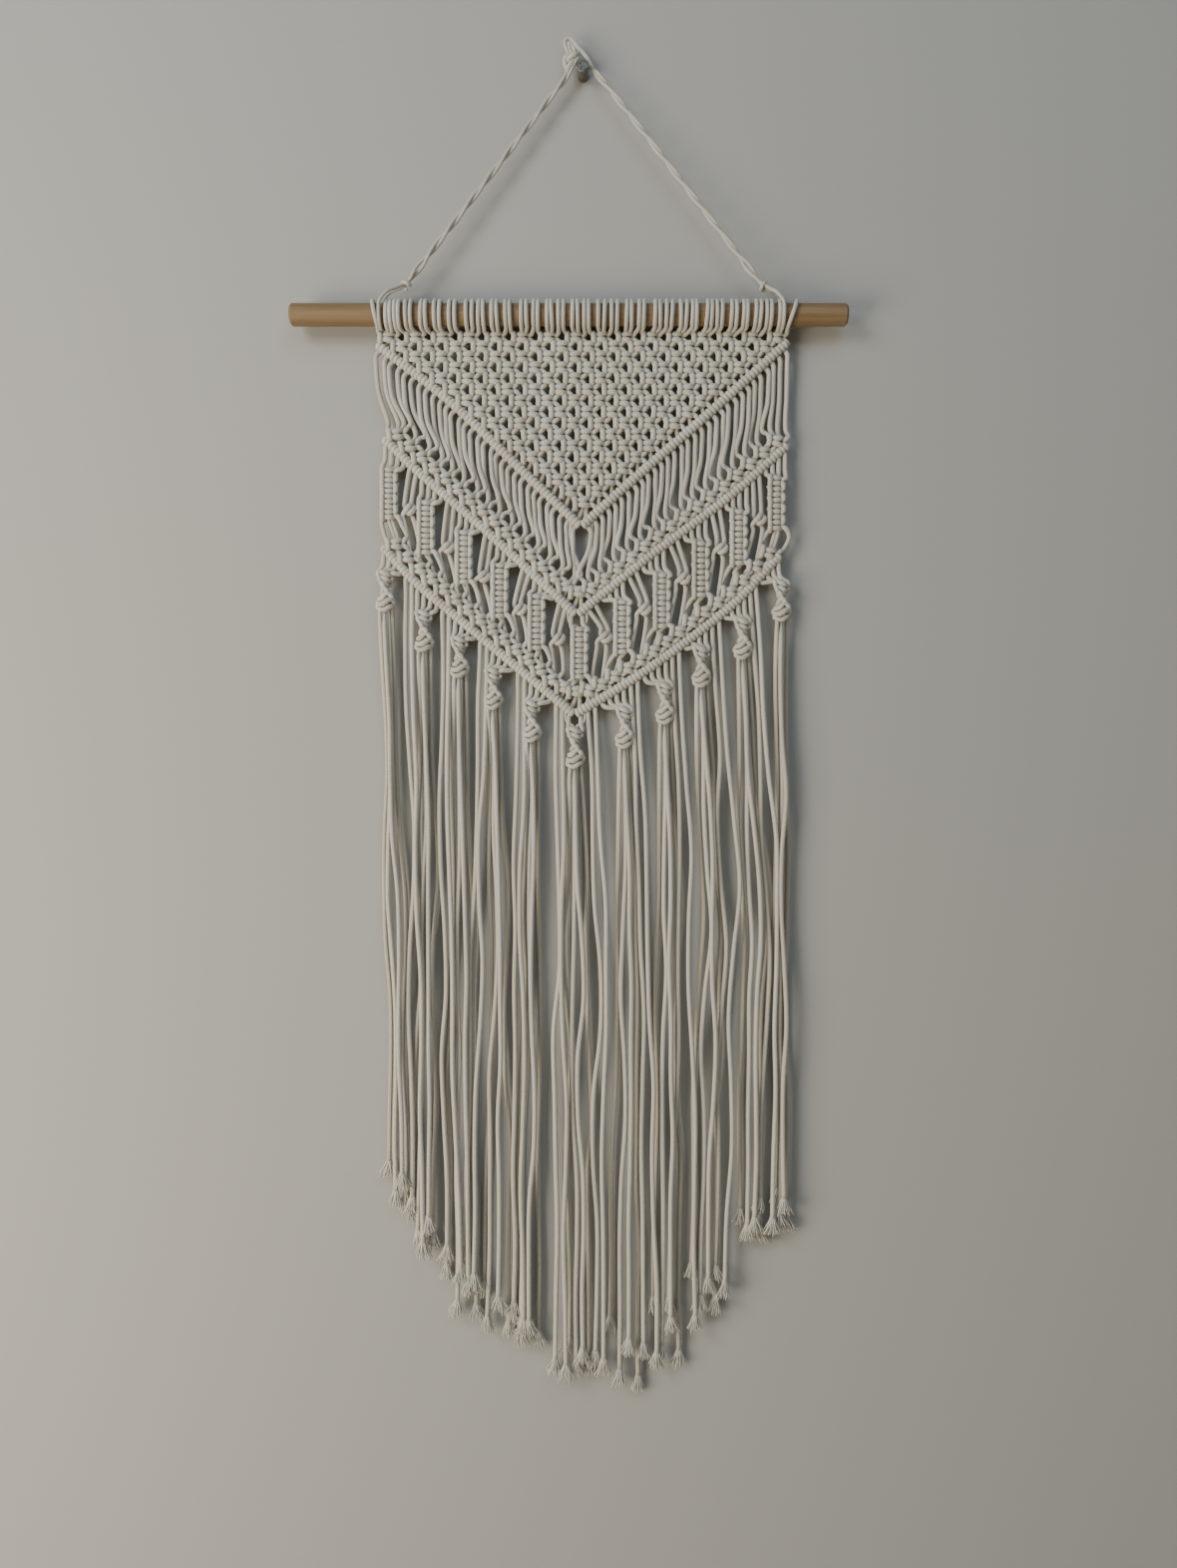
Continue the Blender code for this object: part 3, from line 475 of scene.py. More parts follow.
# Places (right, front, up, radius) in the panel's own place: up to z, front to -y, turned by tilt.
def setDown(rows, x, z, tilt, scale):
    u, d, v, r = (np.array(rows, float) * (*scale, 1.0)).T
    c, s = np.cos(tilt), np.sin(tilt)
    return np.stack([x + u * c - v * s, panelY - d, z + u * s + v * c, r], axis=1)


def jitter(rows, amount):
    rows = np.array(rows, float)
    rows[:, :3] += random.normal(0.0, amount, (len(rows), 3))
    return rows


# The 64 strands, each a list of rows, and the order in which they now lie from left to right.
class Strands:
    def __init__(self):
        self.rows = [[] for _ in range(strandCount)]
        self.order = list(range(strandCount))

    def lay(self, position, rows):
        self.rows[self.order[position]].append(np.atleast_2d(np.asarray(rows, float)))

    def last(self, position):
        return self.rows[self.order[position]][-1][-1]

    def whole(self, strand):
        return np.vstack(self.rows[strand])


strands = Strands()


# A square knot of four strands: what leads in, the upper half, and the mirror image of both.
def tieSquare(first, x, z, tilt, scale, above="net", below="net", halves=knotHalf, drooping=False):
    for k, role in enumerate(("left", "leftCore", "rightCore", "right")):
        half = list(halves[role])
        rows = list(knotLead[above].get(role, ())) + half
        rows += mirrored(list(knotLead[below].get(role, ())) + half)
        enter = droop if drooping else strands.lay
        enter(first + k, setDown(jitter(rows, 0.1), x, z, tilt, scale))


# How a strand droops: the least fall that needs a point of its own, and that point's share of the way
# across and of the fall.
droopShape = {"least": 2.5, "across": 0.2, "low": 0.3}


# A point on a strand's way into a knot: it hangs from its last point and turns in near the knot's height.
def droop(position, rows):
    x, y, z, r = strands.last(position)
    target = rows[0]
    fall = max(0.0, z - target[2])
    if fall > droopShape["least"]:
        across = x + droopShape["across"] * (target[0] - x)
        strands.lay(position, (across, 0.5 * (y + target[1]), target[2] + droopShape["low"] * fall, r))
    strands.lay(position, rows)


dowelPlace = {"y": -13.5, "z": -178.7, "cord": 1.52}
# Where the four strands of each knot of the first row pass under the dowel.
loopPlaces = (
    (-147.0, -140.7, -137.7, -134.4),
    (-131.8, -126.5, -123.2, -116.2),
    (-112.6, -106.1, -102.7, -95.7),
    (-91.7, -83.3, -79.3, -75.0),
    (-71.1, -65.1, -61.3, -55.2),
    (-52.0, -44.1, -40.3, -35.5),
    (-32.4, -25.7, -22.1, -17.6),
    (-14.1, -7.6, -3.6, 0.9),
    (4.2, 11.0, 15.1, 20.6),
    (24.4, 31.0, 34.8, 40.1),
    (43.4, 51.5, 55.3, 59.6),
    (63.3, 70.1, 73.6, 78.1),
    (81.1, 88.2, 91.8, 96.0),
    (99.3, 105.9, 109.5, 114.5),
    (117.3, 123.2, 126.5, 131.3),
    (134.3, 140.5, 142.9, 147.1),
)
# How far each strand's place on top lies to the right of its foot.
loopLean = {"first": -3.8, "last": 6.3, "other": 0.3, "spread": 0.5}
# A strand's way over the dowel: turns in degrees from the front over the top, radii about the axis, the
# fold's own turn and radius, and how far the first two points stand off from the cord's other strand.
loopWay = {
    "turns": (196.0, 168.0, 140.0, 112.0, 84.0, 56.0, 28.0, 0.0, -28.0, -56.0, -84.0),
    "radii": (11.2, 10.2, 9.65, 9.6, 9.55, 9.55, 9.55, 9.55, 9.55, 9.6, 9.7),
    "foldTurn": 214.0,
    "foldRadius": 11.7,
    "standOff": (0.9, 0.5),
    "footTurn": 84.0,
}


# Rows on circles about the dowel's axis: a turn of 0 degrees is its front, and 90 its top.
def aroundDowel(x, turns, radius, girth):
    a = np.radians(turns)
    y = dowelPlace["y"] - radius * np.cos(a)
    z = dowelPlace["z"] + radius * np.sin(a)
    return np.stack(np.broadcast_arrays(x, y, z, girth), axis=1)


# Each cord is folded round the dowel: its two strands come from the fold behind it, over the top, down
# the front and under it. x eases from the top place to the foot between 84 degrees and -84.
def loopOver():
    turns, radii = np.array(loopWay["turns"]), np.array(loopWay["radii"])
    share = np.clip((loopWay["footTurn"] - turns) / (2 * loopWay["footTurn"]), 0.0, 1.0)
    share = share * share * (3 - 2 * share)
    feet = np.array(loopPlaces)
    lean = random.normal(loopLean["other"], loopLean["spread"], feet.shape)
    lean[0, 0], lean[-1, -1] = loopLean["first"], loopLean["last"]
    tops = feet + lean
    for k, row in enumerate(tops):
        for n in range(4):
            top, foot = row[n], feet[k, n]
            mate = row[n + 1 if n % 2 == 0 else n - 1]
            across = top + (foot - top) * share
            across[:2] += np.sign(top - mate) * np.array(loopWay["standOff"])
            rows = aroundDowel(across, turns, radii, dowelPlace["cord"])
            middle, turn = np.array([0.5 * (top + mate)]), np.array([loopWay["foldTurn"]])
            fold = aroundDowel(middle, turn, np.array([loopWay["foldRadius"]]), dowelPlace["cord"])
            strands.lay(4 * k + n, np.vstack([fold, rows]))


net = {
    "rows": 16,
    "topZ": -192.9,
    "rowStep": 8.18,
    "topSqueeze": 3.24,
    "centreX": 2.8,
    "lean": -3.9,
    "halfStep": (9.66, 9.09),
    "knotStep": 9.37,
}


# Knots of a row stand two half steps apart, and each row starts a half step further in, while its centre
# leans over evenly. z falls by even steps, less a squeeze that grows over the first rows.
def netPlace(row, k):
    column = row + 2 * k + 1 - net["rows"]
    half = net["halfStep"][0 if column < 0 else 1]
    x = net["centreX"] + net["lean"] * row / (net["rows"] - 1) + column * half
    return x, net["topZ"] - (net["rowStep"] * row - net["topSqueeze"] * (1 - np.exp(-row / 2)))


def tieNet():
    for row in range(net["rows"]):
        for k in range(net["rows"] - row):
            x, z = netPlace(row, k)
            wide = net["halfStep"][0 if x < net["centreX"] else 1] / net["knotStep"]
            above = "free" if row == 0 else "net"
            tieSquare(2 * row + 4 * k, x, z, random.normal(0, 0.03), (wide, 1.0, 1.0), above)


bars = {
    # centre line of each bar from its left end by its tip to its right end, in (x, z)
    "lines": (
        (
            (-149.5, -197.0),
            (-95.8, -239.1),
            (-40.7, -292.0),
            (-1.4, -329.5),
            (34.5, -296.8),
            (89.7, -248.6),
            (148.0, -196.0),
        ),
        (
            (-144.5, -265.0),
            (-123.4, -285.8),
            (-68.3, -334.1),
            (-4.5, -393.5),
            (48.3, -350.6),
            (103.5, -309.3),
            (148.5, -270.0),
        ),
        (
            (-145.5, -343.5),
            (-123.4, -367.5),
            (-78.6, -405.5),
            (-6.0, -465.6),
            (46.3, -433.0),
            (108.8, -385.3),
            (143.0, -349.5),
        ),
    ),
    # how far a strand drops and turns outwards below each bar
    "leave": ((4.0, 2.8), (1.6, 0.4), (2.2, 0.6)),
    # a strand's turns about the hidden cord, and by turn how far it stands out and steps along the bar
    "degrees": (
        *(205.0, 240.0, 275.0, 310.0, 345.0, 380.0, 415.0, 450.0, 495.0),
        *(540.0, 585.0, 630.0, 665.0, 700.0, 735.0, 770.0, 810.0, 850.0),
    ),
    "standOut": ((205, 240, 810, 850), (0.5, 0.0, 0.0, 0.5)),
    "stepOn": ((205, 240, 465, 615, 810, 850), (-0.3, -0.5, -0.5, 0.5, 0.5, 0.2)),
    "coreRows": 40,
    "strandGirth": 1.8,
    "wrapRadius": 1.78,
    "wrapGirth": 1.95,
    "coreGirth": 1.0,
    "rowRise": 10.5,
    "apexRise": 16.5,
    "tipReach": 12.0,
    "rowTilt": 0.13,
}


# Place and upward normal at shares 0..1 of a bar's half, by distance along its centre line.
def barAt(line, side, share):
    rows = np.array(line[:4] if side < 0 else line[:2:-1], float)
    rows = np.column_stack([rows[:, 0], np.zeros(4), rows[:, 1], np.ones(4)])
    path = smoothPath(rows, 1.0)[:, [0, 2]]
    along = np.concatenate([[0.0], np.cumsum(np.linalg.norm(np.diff(path, axis=0), axis=1))])
    at = np.asarray(share, float) * along[-1]
    point = np.stack([np.interp(at, along, path[:, k]) for k in (0, 1)], axis=-1)
    slope = np.gradient(path, axis=0)
    way = unit(np.stack([np.interp(at, along, slope[:, k]) for k in (0, 1)], axis=-1))
    up = np.stack([-way[..., 1], way[..., 0]], axis=-1) * (1.0 if side < 0 else -1.0)
    return point, up


# Each strand goes twice round the hidden cord, in circles that lie side by side in front and step along
# the bar behind, then leaves below it with a short bend outwards.
def tieBar(number):
    line = bars["lines"][number]
    drop, outwards = bars["leave"][number]
    degrees = np.array(bars["degrees"])
    turns = np.radians(degrees)
    radius = bars["wrapRadius"] + np.interp(degrees, *bars["standOut"])
    front, lift = np.cos(turns) * radius, -np.sin(turns) * radius
    step = np.interp(degrees, *bars["stepOn"])
    rows = bars["coreRows"]
    for side in (-1, 1):
        positions = list(range(apex)) if side < 0 else list(range(strandCount - 1, apex - 1, -1))
        point, _ = barAt(line, side, np.linspace(0, 1, rows))
        core = [point[:, 0], np.full(rows, panelY), point[:, 1], np.full(rows, bars["coreGirth"])]
        strands.lay(positions[0], np.column_stack(core)[:-2])
        pitch = 1.0 / (2 * (apex - 1) + 0.6)
        for k, position in enumerate(positions[1:]):
            point, up = barAt(line, side, (2 * k + 1.3 + step) * pitch)
            place = point + up * lift[:, None]
            girth = np.full(len(turns), bars["wrapGirth"] * random.normal(1.0, 0.02))
            strands.lay(position, np.column_stack([place[:, 0], panelY - front, place[:, 1], girth]))
            across = place[-1, 0] + side * outwards * random.uniform(0.7, 1.3)
            strands.lay(position, (across, panelY + 0.6, place[-1, 1] - drop, bars["strandGirth"]))
    left, right = strands.order[0], strands.order[-1]
    strands.order = strands.order[1:apex] + [left, right] + strands.order[apex:-1]


# How an open stretch ends: the sideways reach to each of a knot's four strands, the swing inwards before
# the hook, and its height over the knot.
openRun = {
    "reach": (-6.0, 1.0, 3.4, 9.4),
    "inwards": 2.9,
    "edgeShare": 0.3,
    "over": 8.0,
    "under": 7.0,
    "shares": (0.0, 0.45, 1.0),
}


# A knot of the row over a bar: its x goes from the bar's end to the tip by even steps, and it stands a
# rise over the bar that grows within 12 mm of the tip.
def rowPlace(line, j):
    xs, zs = np.array(line).T
    tip = xs[np.argmin(zs)]
    if j < tipKnot:
        x = xs[0] + (tip - xs[0]) * (2 * j + 2) / apex
    elif j > tipKnot:
        x = xs[-1] + (tip - xs[-1]) * (2 * (lastKnot - j) + 2) / apex
    else:
        x = tip
    near = 1.0 - min(1.0, abs(x - tip) / bars["tipReach"])
    return x, np.interp(x, xs, zs) + bars["rowRise"] + (bars["apexRise"] - bars["rowRise"]) * near


def tieRow(number):
    line = bars["lines"][number]
    for j in list(range(tipKnot)) + list(range(lastKnot, tipKnot - 1, -1)):
        x, z = rowPlace(line, j)
        tilt = bars["rowTilt"] * np.sign(tipKnot - j) + random.normal(0, 0.05)
        tieSquare(2 * j, x, z, tilt, (0.97, 1.0, 0.97))


# Strands that cross the open stretch over a row. Each hangs from where it leaves, drifts to the inner side
# of where its first knot takes it, and hooks outwards into that knot.
def hangOpen(number):
    line = bars["lines"][number]
    for position in range(strandCount):
        x, y, z, r = strands.last(position)
        side = 1 if position < apex else -1
        knot = max(0, position - 2) // 2 if side > 0 else min(lastKnot, position // 2)
        across, level = rowPlace(line, knot)
        outermost = position < 2 or position >= strandCount - 2
        swing = openRun["edgeShare"] if outermost else random.uniform(0.75, 1.25)
        across += openRun["reach"][position - 2 * knot] + side * (openRun["inwards"] * swing)
        level += openRun["over"]
        drift = random.normal(0, 0.4)
        for share in openRun["shares"]:
            at = x + (across - x) * share**2 + drift * share
            deep = panelY + random.normal(0.6, 0.6)
            high = z - openRun["under"] + (level - z + openRun["under"]) * share
            strands.lay(position, (at, deep, high, bars["strandGirth"]))


# The first strand of each sennit, its centre x, and its top and bottom z.
sennits = (
    (0, -140.2, -286.8, -325.0),
    (6, -113.5, -310.6, -350.3),
    (12, -86.1, -332.2, -371.9),
    (18, -60.2, -356.0, -396.4),
    (24, -33.5, -378.4, -419.4),
    (30, -2.5, -402.2, -440.3),
    (36, 28.5, -382.7, -422.3),
    (42, 57.3, -363.2, -403.6),
    (48, 85.4, -340.2, -381.2),
    (54, 112.8, -317.1, -358.2),
    (60, 140.2, -292.6, -333.0),
)
# The first strand of each pair knot, and its centre.
pairKnots = (
    (4, -126.0, -317.8),
    (10, -98.6, -345.2),
    (16, -72.6, -366.1),
    (22, -46.2, -389.9),
    (28, -18.5, -411.5),
    (34, 15.4, -410.1),
    (40, 44.0, -389.9),
    (46, 72.4, -367.6),
    (52, 99.5, -345.9),
    (58, 127.2, -325.0),
)
sennitShape = {"knots": 5, "wide": 0.98, "knotTall": 8.0, "bulge": 3.0}


# A sennit is square knots end to end. A pair knot between two of them swaps its first two strands.
def tieSennits():
    knots = sennitShape["knots"]
    for first, x, top, bottom in sennits:
        tall = (top - bottom) / knots
        scale = (sennitShape["wide"], 1.0, tall / sennitShape["knotTall"])
        for n in range(knots):
            ends = ("sennit" if n == 0 else "chain", "sennit" if n == knots - 1 else "chain")
            z = top - (n + 0.5) * tall
            tieSquare(first, x, z, random.normal(0, 0.012), scale, *ends, chainHalf, n == 0)
        place = strands.last(first + 3)
        strands.lay(first + 3, (place[0] + sennitShape["bulge"], panelY - 0.6, place[2] - 6.0, 1.75))
    for first, x, z in pairKnots:
        tilt = random.normal(0, 0.08)
        for k, rows in enumerate(pairTied):
            strands.lay(first + k, setDown(jitter(rows, 0.12), x, z, tilt, (0.98, 0.95, 0.92)))
        a, b = strands.order[first], strands.order[first + 1]
        strands.order[first], strands.order[first + 1] = b, a


spirals = {
    # first strand of each, and the centre of its ball
    "places": (
        (0, -143.1, -384.1),
        (6, -115.2, -413.0),
        (12, -89.4, -431.7),
        (18, -64.9, -454.8),
        (24, -37.1, -478.5),
        (30, -5.8, -497.3),
        (36, 30.2, -482.9),
        (42, 59.5, -465.6),
        (48, 85.8, -438.9),
        (54, 115.7, -418.7),
        (60, 143.8, -391.3),
    ),
    # height over the ball's centre, turn in degrees, and how far the cords stand out
    "height": (26.0, 20.0, 16.0, 12.0, 8.5, 5.0, 1.0, -3.5, -6.5, -9.0),
    "turn": (0.0, 0.0, 15.0, 55.0, 95.0, 130.0, 165.0, 200.0, 210.0, 215.0),
    "reach": (0.95, 0.95, 0.85, 0.6, 0.55, 0.82, 1.06, 1.02, 0.8, 0.5),
    "knots": 7,
    "top": 20.0,
    "step": 4.15,
    "y": -7.6,
}
# A half knot's two working strands, in (right, front, up, radius): one passes in front, one behind.
halfTied = {
    "front": (
        (-5.0, 0.5, 2.0, 1.5),
        (-2.6, 2.1, 1.3, 1.75),
        (0.0, 2.8, 0.3, 2.1),
        (2.6, 2.1, -0.8, 1.85),
        (5.0, -0.2, -1.4, 1.5),
    ),
    "back": (
        (5.5, 1.0, 0.6, 1.75),
        (4.6, -1.2, -1.0, 1.5),
        (2.0, -2.7, -1.3, 1.95),
        (-1.6, -2.7, 0.5, 2.05),
        (-4.4, -0.8, 2.2, 1.6),
        (-5.2, 1.6, 0.9, 2.0),
    ),
}


# A spiral turns about its upright axis: right and front are scaled by reach and turned by the angle,
# both read from the height.
def tieSpiral(first, x, z):
    height, turn, reach = (np.array(spirals[key])[::-1] for key in ("height", "turn", "reach"))

    def place(rows):
        u, d, v, r = np.array(rows, float).T
        angle = -np.radians(np.interp(v, height, turn))
        out = np.interp(v, height, reach)
        across = x + out * (u * np.cos(angle) - d * np.sin(angle))
        deep = spirals["y"] - out * (u * np.sin(angle) + d * np.cos(angle))
        return np.stack([across, deep, z + v, r * np.clip(out, 0.9, 1.05)], axis=1)

    working = [0, 3]
    for n in range(spirals["knots"]):
        shift = (0, 0, spirals["top"] - n * spirals["step"], 0)
        for k, role in zip(working, ("front", "back")):
            enter = droop if n == 0 else strands.lay
            enter(first + k, place(jitter(halfTied[role], 0.08) + shift))
        working.reverse()
    low = spirals["top"] - spirals["knots"] * spirals["step"]
    levels = np.arange(spirals["top"] + 2.5, low, -3.0)
    for k, side in ((1, -1.3), (2, 1.3)):
        droop(first + k, place([(side, -0.2, level, 1.4) for level in levels]))


fringe = {
    "middleZ": -598.0,
    # centre x and width of each group of strands at the middle level, four strands and two by turns
    "middle": (
        (-136.2, 10.8),
        (-121.8, 5.0),
        (-112.8, 11.5),
        (-99.8, 5.8),
        (-88.3, 14.4),
        (-76.0, 4.3),
        (-60.9, 10.1),
        (-46.5, 4.8),
        (-36.4, 10.1),
        (-16.2, 4.3),
        (-4.7, 15.9),
        (13.3, 5.0),
        (32.8, 14.4),
        (44.3, 5.0),
        (61.6, 14.4),
        (74.6, 6.5),
        (93.3, 14.4),
        (107.0, 10.1),
        (124.3, 17.3),
        (137.3, 6.5),
        (143.8, 8.6),
    ),
    # centre x, centre z, width and height of each group of ends, four strands and two by turns
    "groups": (
        (-133.0, -813.0, 15.9, 24.5),
        (-116.4, -841.8, 10.1, 31.7),
        (-118.6, -843.2, 18.7, 18.7),
        (-93.3, -868.4, 10.1, 14.4),
        (-85.4, -890.8, 27.4, 28.8),
        (-84.0, -872.0, 7.2, 17.3),
        (-65.2, -902.3, 24.5, 28.8),
        (-46.5, -908.1, 7.2, 11.5),
        (-42.2, -916.7, 18.7, 15.9),
        (-16.2, -944.8, 7.9, 2.9),
        (-2.5, -936.9, 14.4, 15.9),
        (11.9, -939.8, 5.8, 4.3),
        (29.9, -935.5, 20.2, 43.2),
        (48.6, -934.7, 9.4, 5.8),
        (60.2, -918.9, 18.7, 38.9),
        (71.7, -904.5, 18.7, 11.5),
        (87.6, -887.9, 17.3, 24.5),
        (99.1, -880.7, 6.5, 11.5),
        (121.4, -841.8, 14.4, 13.0),
        (132.3, -833.1, 8.6, 14.4),
        (143.8, -830.2, 7.2, 20.2),
    ),
    "layers": (-3.6, -7.2, -10.6),
    "leastStep": 4.1,
    "tuft": 11.0,
    "fourEnds": (0.5, -0.35, 0.2, -0.5),
    "twoEnds": (0.5, -0.5),
    "lead": 9.0,
    "rows": 11,
    "settle": 9.0,
    "sway": 2.4,
    "swayLength": 190.0,
    "cord": 1.72,
    "yarns": 32,
    "yarnRings": 8,
    # a frayed end: each yarn's turn from the one before, its start radius, thinning, and first spread
    "yarnTurn": 2.39996,
    "yarnRadius": 0.52,
    "yarnThinning": 0.16,
    "yarnSpread": 1.3,
    "nearestWall": -0.8,
}


# The x of every strand at one level: even steps across each group, then pushed apart within each layer
# until none is closer than the least step.
def spreadOut(groups):
    xs = []
    for group, (x, wide) in enumerate(groups):
        xs += list(x + wide * np.linspace(-0.5, 0.5, 2 if group % 2 else 4))
    xs = np.array(xs)
    for layer in range(3):
        mine = np.sort(xs[layer::3])
        for _ in range(200):
            lack = np.maximum(0.0, fringe["leastStep"] - np.diff(mine)) / 2
            mine[:-1] -= lack
            mine[1:] += lack
        xs[layer::3] = mine
    return xs


# Each strand hangs from its last knot through its place at the middle level to its end, with a slow sway,
# and settles into one of three layers.
def hangFringe():
    middle = spreadOut(fringe["middle"])
    ends = spreadOut([(x, wide) for x, z, wide, tall in fringe["groups"]])
    levels = []
    for group, (x, z, wide, tall) in enumerate(fringe["groups"]):
        levels += [z + tall * height for height in fringe["twoEnds" if group % 2 else "fourEnds"]]
    paths = []
    for k, (x, z) in enumerate(zip(ends, levels)):
        tied = strands.whole(strands.order[k])[-3:]
        start = tied[-1]
        tip = z + fringe["tuft"]
        evenly = start[2] + (tip - start[2]) * np.linspace(0.0, 1.0, fringe["rows"])[1:]
        drop = np.concatenate([[start[2] - fringe["lead"]], evenly])
        down = (start[2] - drop) / (start[2] - tip)
        phase = 0.35 * k + random.uniform(0.0, 2.0)
        wave = np.sin(2 * np.pi * drop / (fringe["swayLength"] * random.uniform(0.8, 1.3)) + phase)
        sway = fringe["sway"] * random.uniform(0.4, 1.2) * wave + random.normal(0, 0.6, len(drop))
        across = np.interp(-drop, (-start[2], -fringe["middleZ"], -tip), (start[0], middle[k], x))
        across += sway * np.sin(np.pi * down)
        settled = fringe["layers"][k % 3] + random.normal(0, 0.25, len(drop)) * np.sin(np.pi * down)
        depth = settled + (start[1] - settled) * np.exp(-fringe["settle"] * down)
        hung = np.column_stack([across, depth, drop, np.full(len(drop), fringe["cord"])])
        paths.append(np.vstack([tied, hung]))
    return paths


# Frayed ends: each is a bundle of thin wavy yarns that leave the cord's end and open like a brush. A
# yarn's distance from the middle grows with its length, and a sine makes its crimp.
def frayedYarns(paths):
    yarns, rings = fringe["yarns"], fringe["yarnRings"]
    middle = np.array([path[-1] for path in paths])
    count = len(paths) * yarns
    spot = np.repeat(middle[:, :3], yarns, axis=0)
    ring = np.sqrt((np.tile(np.arange(yarns), len(paths)) + 0.5) / yarns)
    angle = np.tile(np.arange(yarns) * fringe["yarnTurn"], len(paths))
    angle = angle + np.repeat(random.random(len(paths)) * 6.28, yarns)
    length = fringe["tuft"] * random.uniform(0.7, 1.15, count)
    t = np.linspace(0.0, 1.0, rings)
    spread = fringe["yarnSpread"] + np.repeat(random.uniform(4.2, 6.4, len(paths)), yarns)[:, None] * t**1.3
    lean = np.repeat(random.normal(0, 1.1, len(paths)), yarns)[:, None] * t**2
    crimp = 0.35 * np.sin(t * 9.0 + random.random((count, 1)) * 6.28) * t
    x = spot[:, :1] + spread * (ring * np.cos(angle))[:, None] + lean + crimp
    y = spot[:, 1:2] + (spread * 0.7) * (ring * np.sin(angle))[:, None] + crimp[:, ::-1] * 0.6
    z = spot[:, 2:3] + 1.5 - (length[:, None] + 1.5) * t
    radius = np.broadcast_to(fringe["yarnRadius"] - fringe["yarnThinning"] * t, x.shape)
    return list(np.stack([x, np.minimum(y, fringe["nearestWall"]), z, radius], axis=-1))


hanger = {
    # centre line of each leg, from the nail to its knot
    "legs": (
        ((-10.6, -8.0, -2.8), (-25.6, -8.6, -22.3), (-76.6, -11.0, -89.9), (-127.6, -13.5, -157.1)),
        ((8.0, -7.6, 0.4), (26.3, -8.6, -22.3), (78.0, -11.0, -90.4), (129.7, -13.5, -158.6)),
    ),
    # each leg's two cords where they leave the nail, in (x, y, z, radius)
    "starts": (
        (
            ((-2.5, -8.0, 10.1, 1.3), (-4.7, -9.4, 6.8, 1.4), (-6.6, -9.4, 3.6, 1.5)),
            ((-9.6, -6.2, 5.0, 1.4), (-10.4, -6.4, 1.6, 1.5)),
        ),
        (
            (
                (-7.6, -6.4, 9.6, 1.4),
                (-11.0, -8.0, 14.0, 1.55),
                (-13.0, -8.5, 18.6, 1.5),
                (-12.6, -8.2, 22.4, 1.6),
                (-9.6, -7.9, 23.7, 1.7),
                (-6.7, -8.4, 20.9, 1.85),
                (-3.4, -9.0, 16.2, 1.95),
                (0.4, -9.0, 12.2, 1.85),
                (4.4, -8.3, 7.2, 1.65),
            ),
            ((-7.6, -6.0, 5.8, 1.4), (-4.0, -6.2, 6.7, 1.5), (-0.2, -6.2, 6.9, 1.5), (3.0, -6.4, 4.8, 1.5)),
        ),
    ),
    # turns of cord that show on the knot beside the nail
    "knotTurns": (
        (
            (-11.2, -6.5, 5.8, 1.4),
            (-10.3, -9.4, 7.9, 1.6),
            (-7.1, -10.6, 9.8, 2.0),
            (-4.0, -9.6, 11.6, 1.5),
            (-2.5, -7.2, 12.0, 1.3),
        ),
        (
            (-11.9, -6.6, -0.4, 1.4),
            (-10.8, -8.8, 1.6, 1.6),
            (-9.0, -9.7, 3.7, 1.95),
            (-6.9, -9.2, 6.2, 1.6),
            (-5.4, -7.0, 7.6, 1.4),
        ),
        (
            (-8.3, -7.4, 12.4, 1.4),
            (-11.7, -8.2, 10.9, 1.6),
            (-13.2, -8.4, 7.6, 1.65),
            (-12.7, -8.0, 3.6, 1.6),
            (-10.4, -7.0, 0.6, 1.4),
        ),
        (
            (-8.0, -7.2, 12.6, 1.5),
            (-10.2, -7.9, 16.6, 1.55),
            (-9.9, -7.9, 19.8, 1.5),
            (-8.2, -7.6, 18.2, 1.5),
            (-5.6, -7.8, 14.2, 1.5),
        ),
    ),
    "loopX": (-145.3, 143.3),
    # a loop round the dowel: (x, turn in degrees, radius about the dowel's axis), from front to back
    "loop": (
        (0.7, 26.0, 12.4),
        (0.0, 5.0, 10.1),
        (0.0, -22.0, 9.9),
        (0.0, -50.0, 9.9),
        (0.0, -80.0, 9.9),
        (0.0, -110.0, 9.9),
        (0.0, -140.0, 9.9),
        (0.0, -170.0, 9.9),
        (0.0, -200.0, 9.9),
        (0.0, -228.0, 10.1),
        (0.6, -245.0, 12.4),
    ),
    "cord": 1.5,
    "girth": 0.82,
    "apart": 1.1,
    "lay": 44.0,
    "phase": (0.6, 2.4),
    "legStep": 4.0,
    # by distance from a leg's end, how much further apart its cords lie
    "opening": ((0.0, 6.0, 14.0, 30.0), (0.8, 1.3, 1.6, 1.0)),
    # the small knot on a leg: half its length, its two radii, and its cord
    "tie": {"half": 2.6, "flat": 2.5, "deep": 2.3, "cord": 1.35},
}


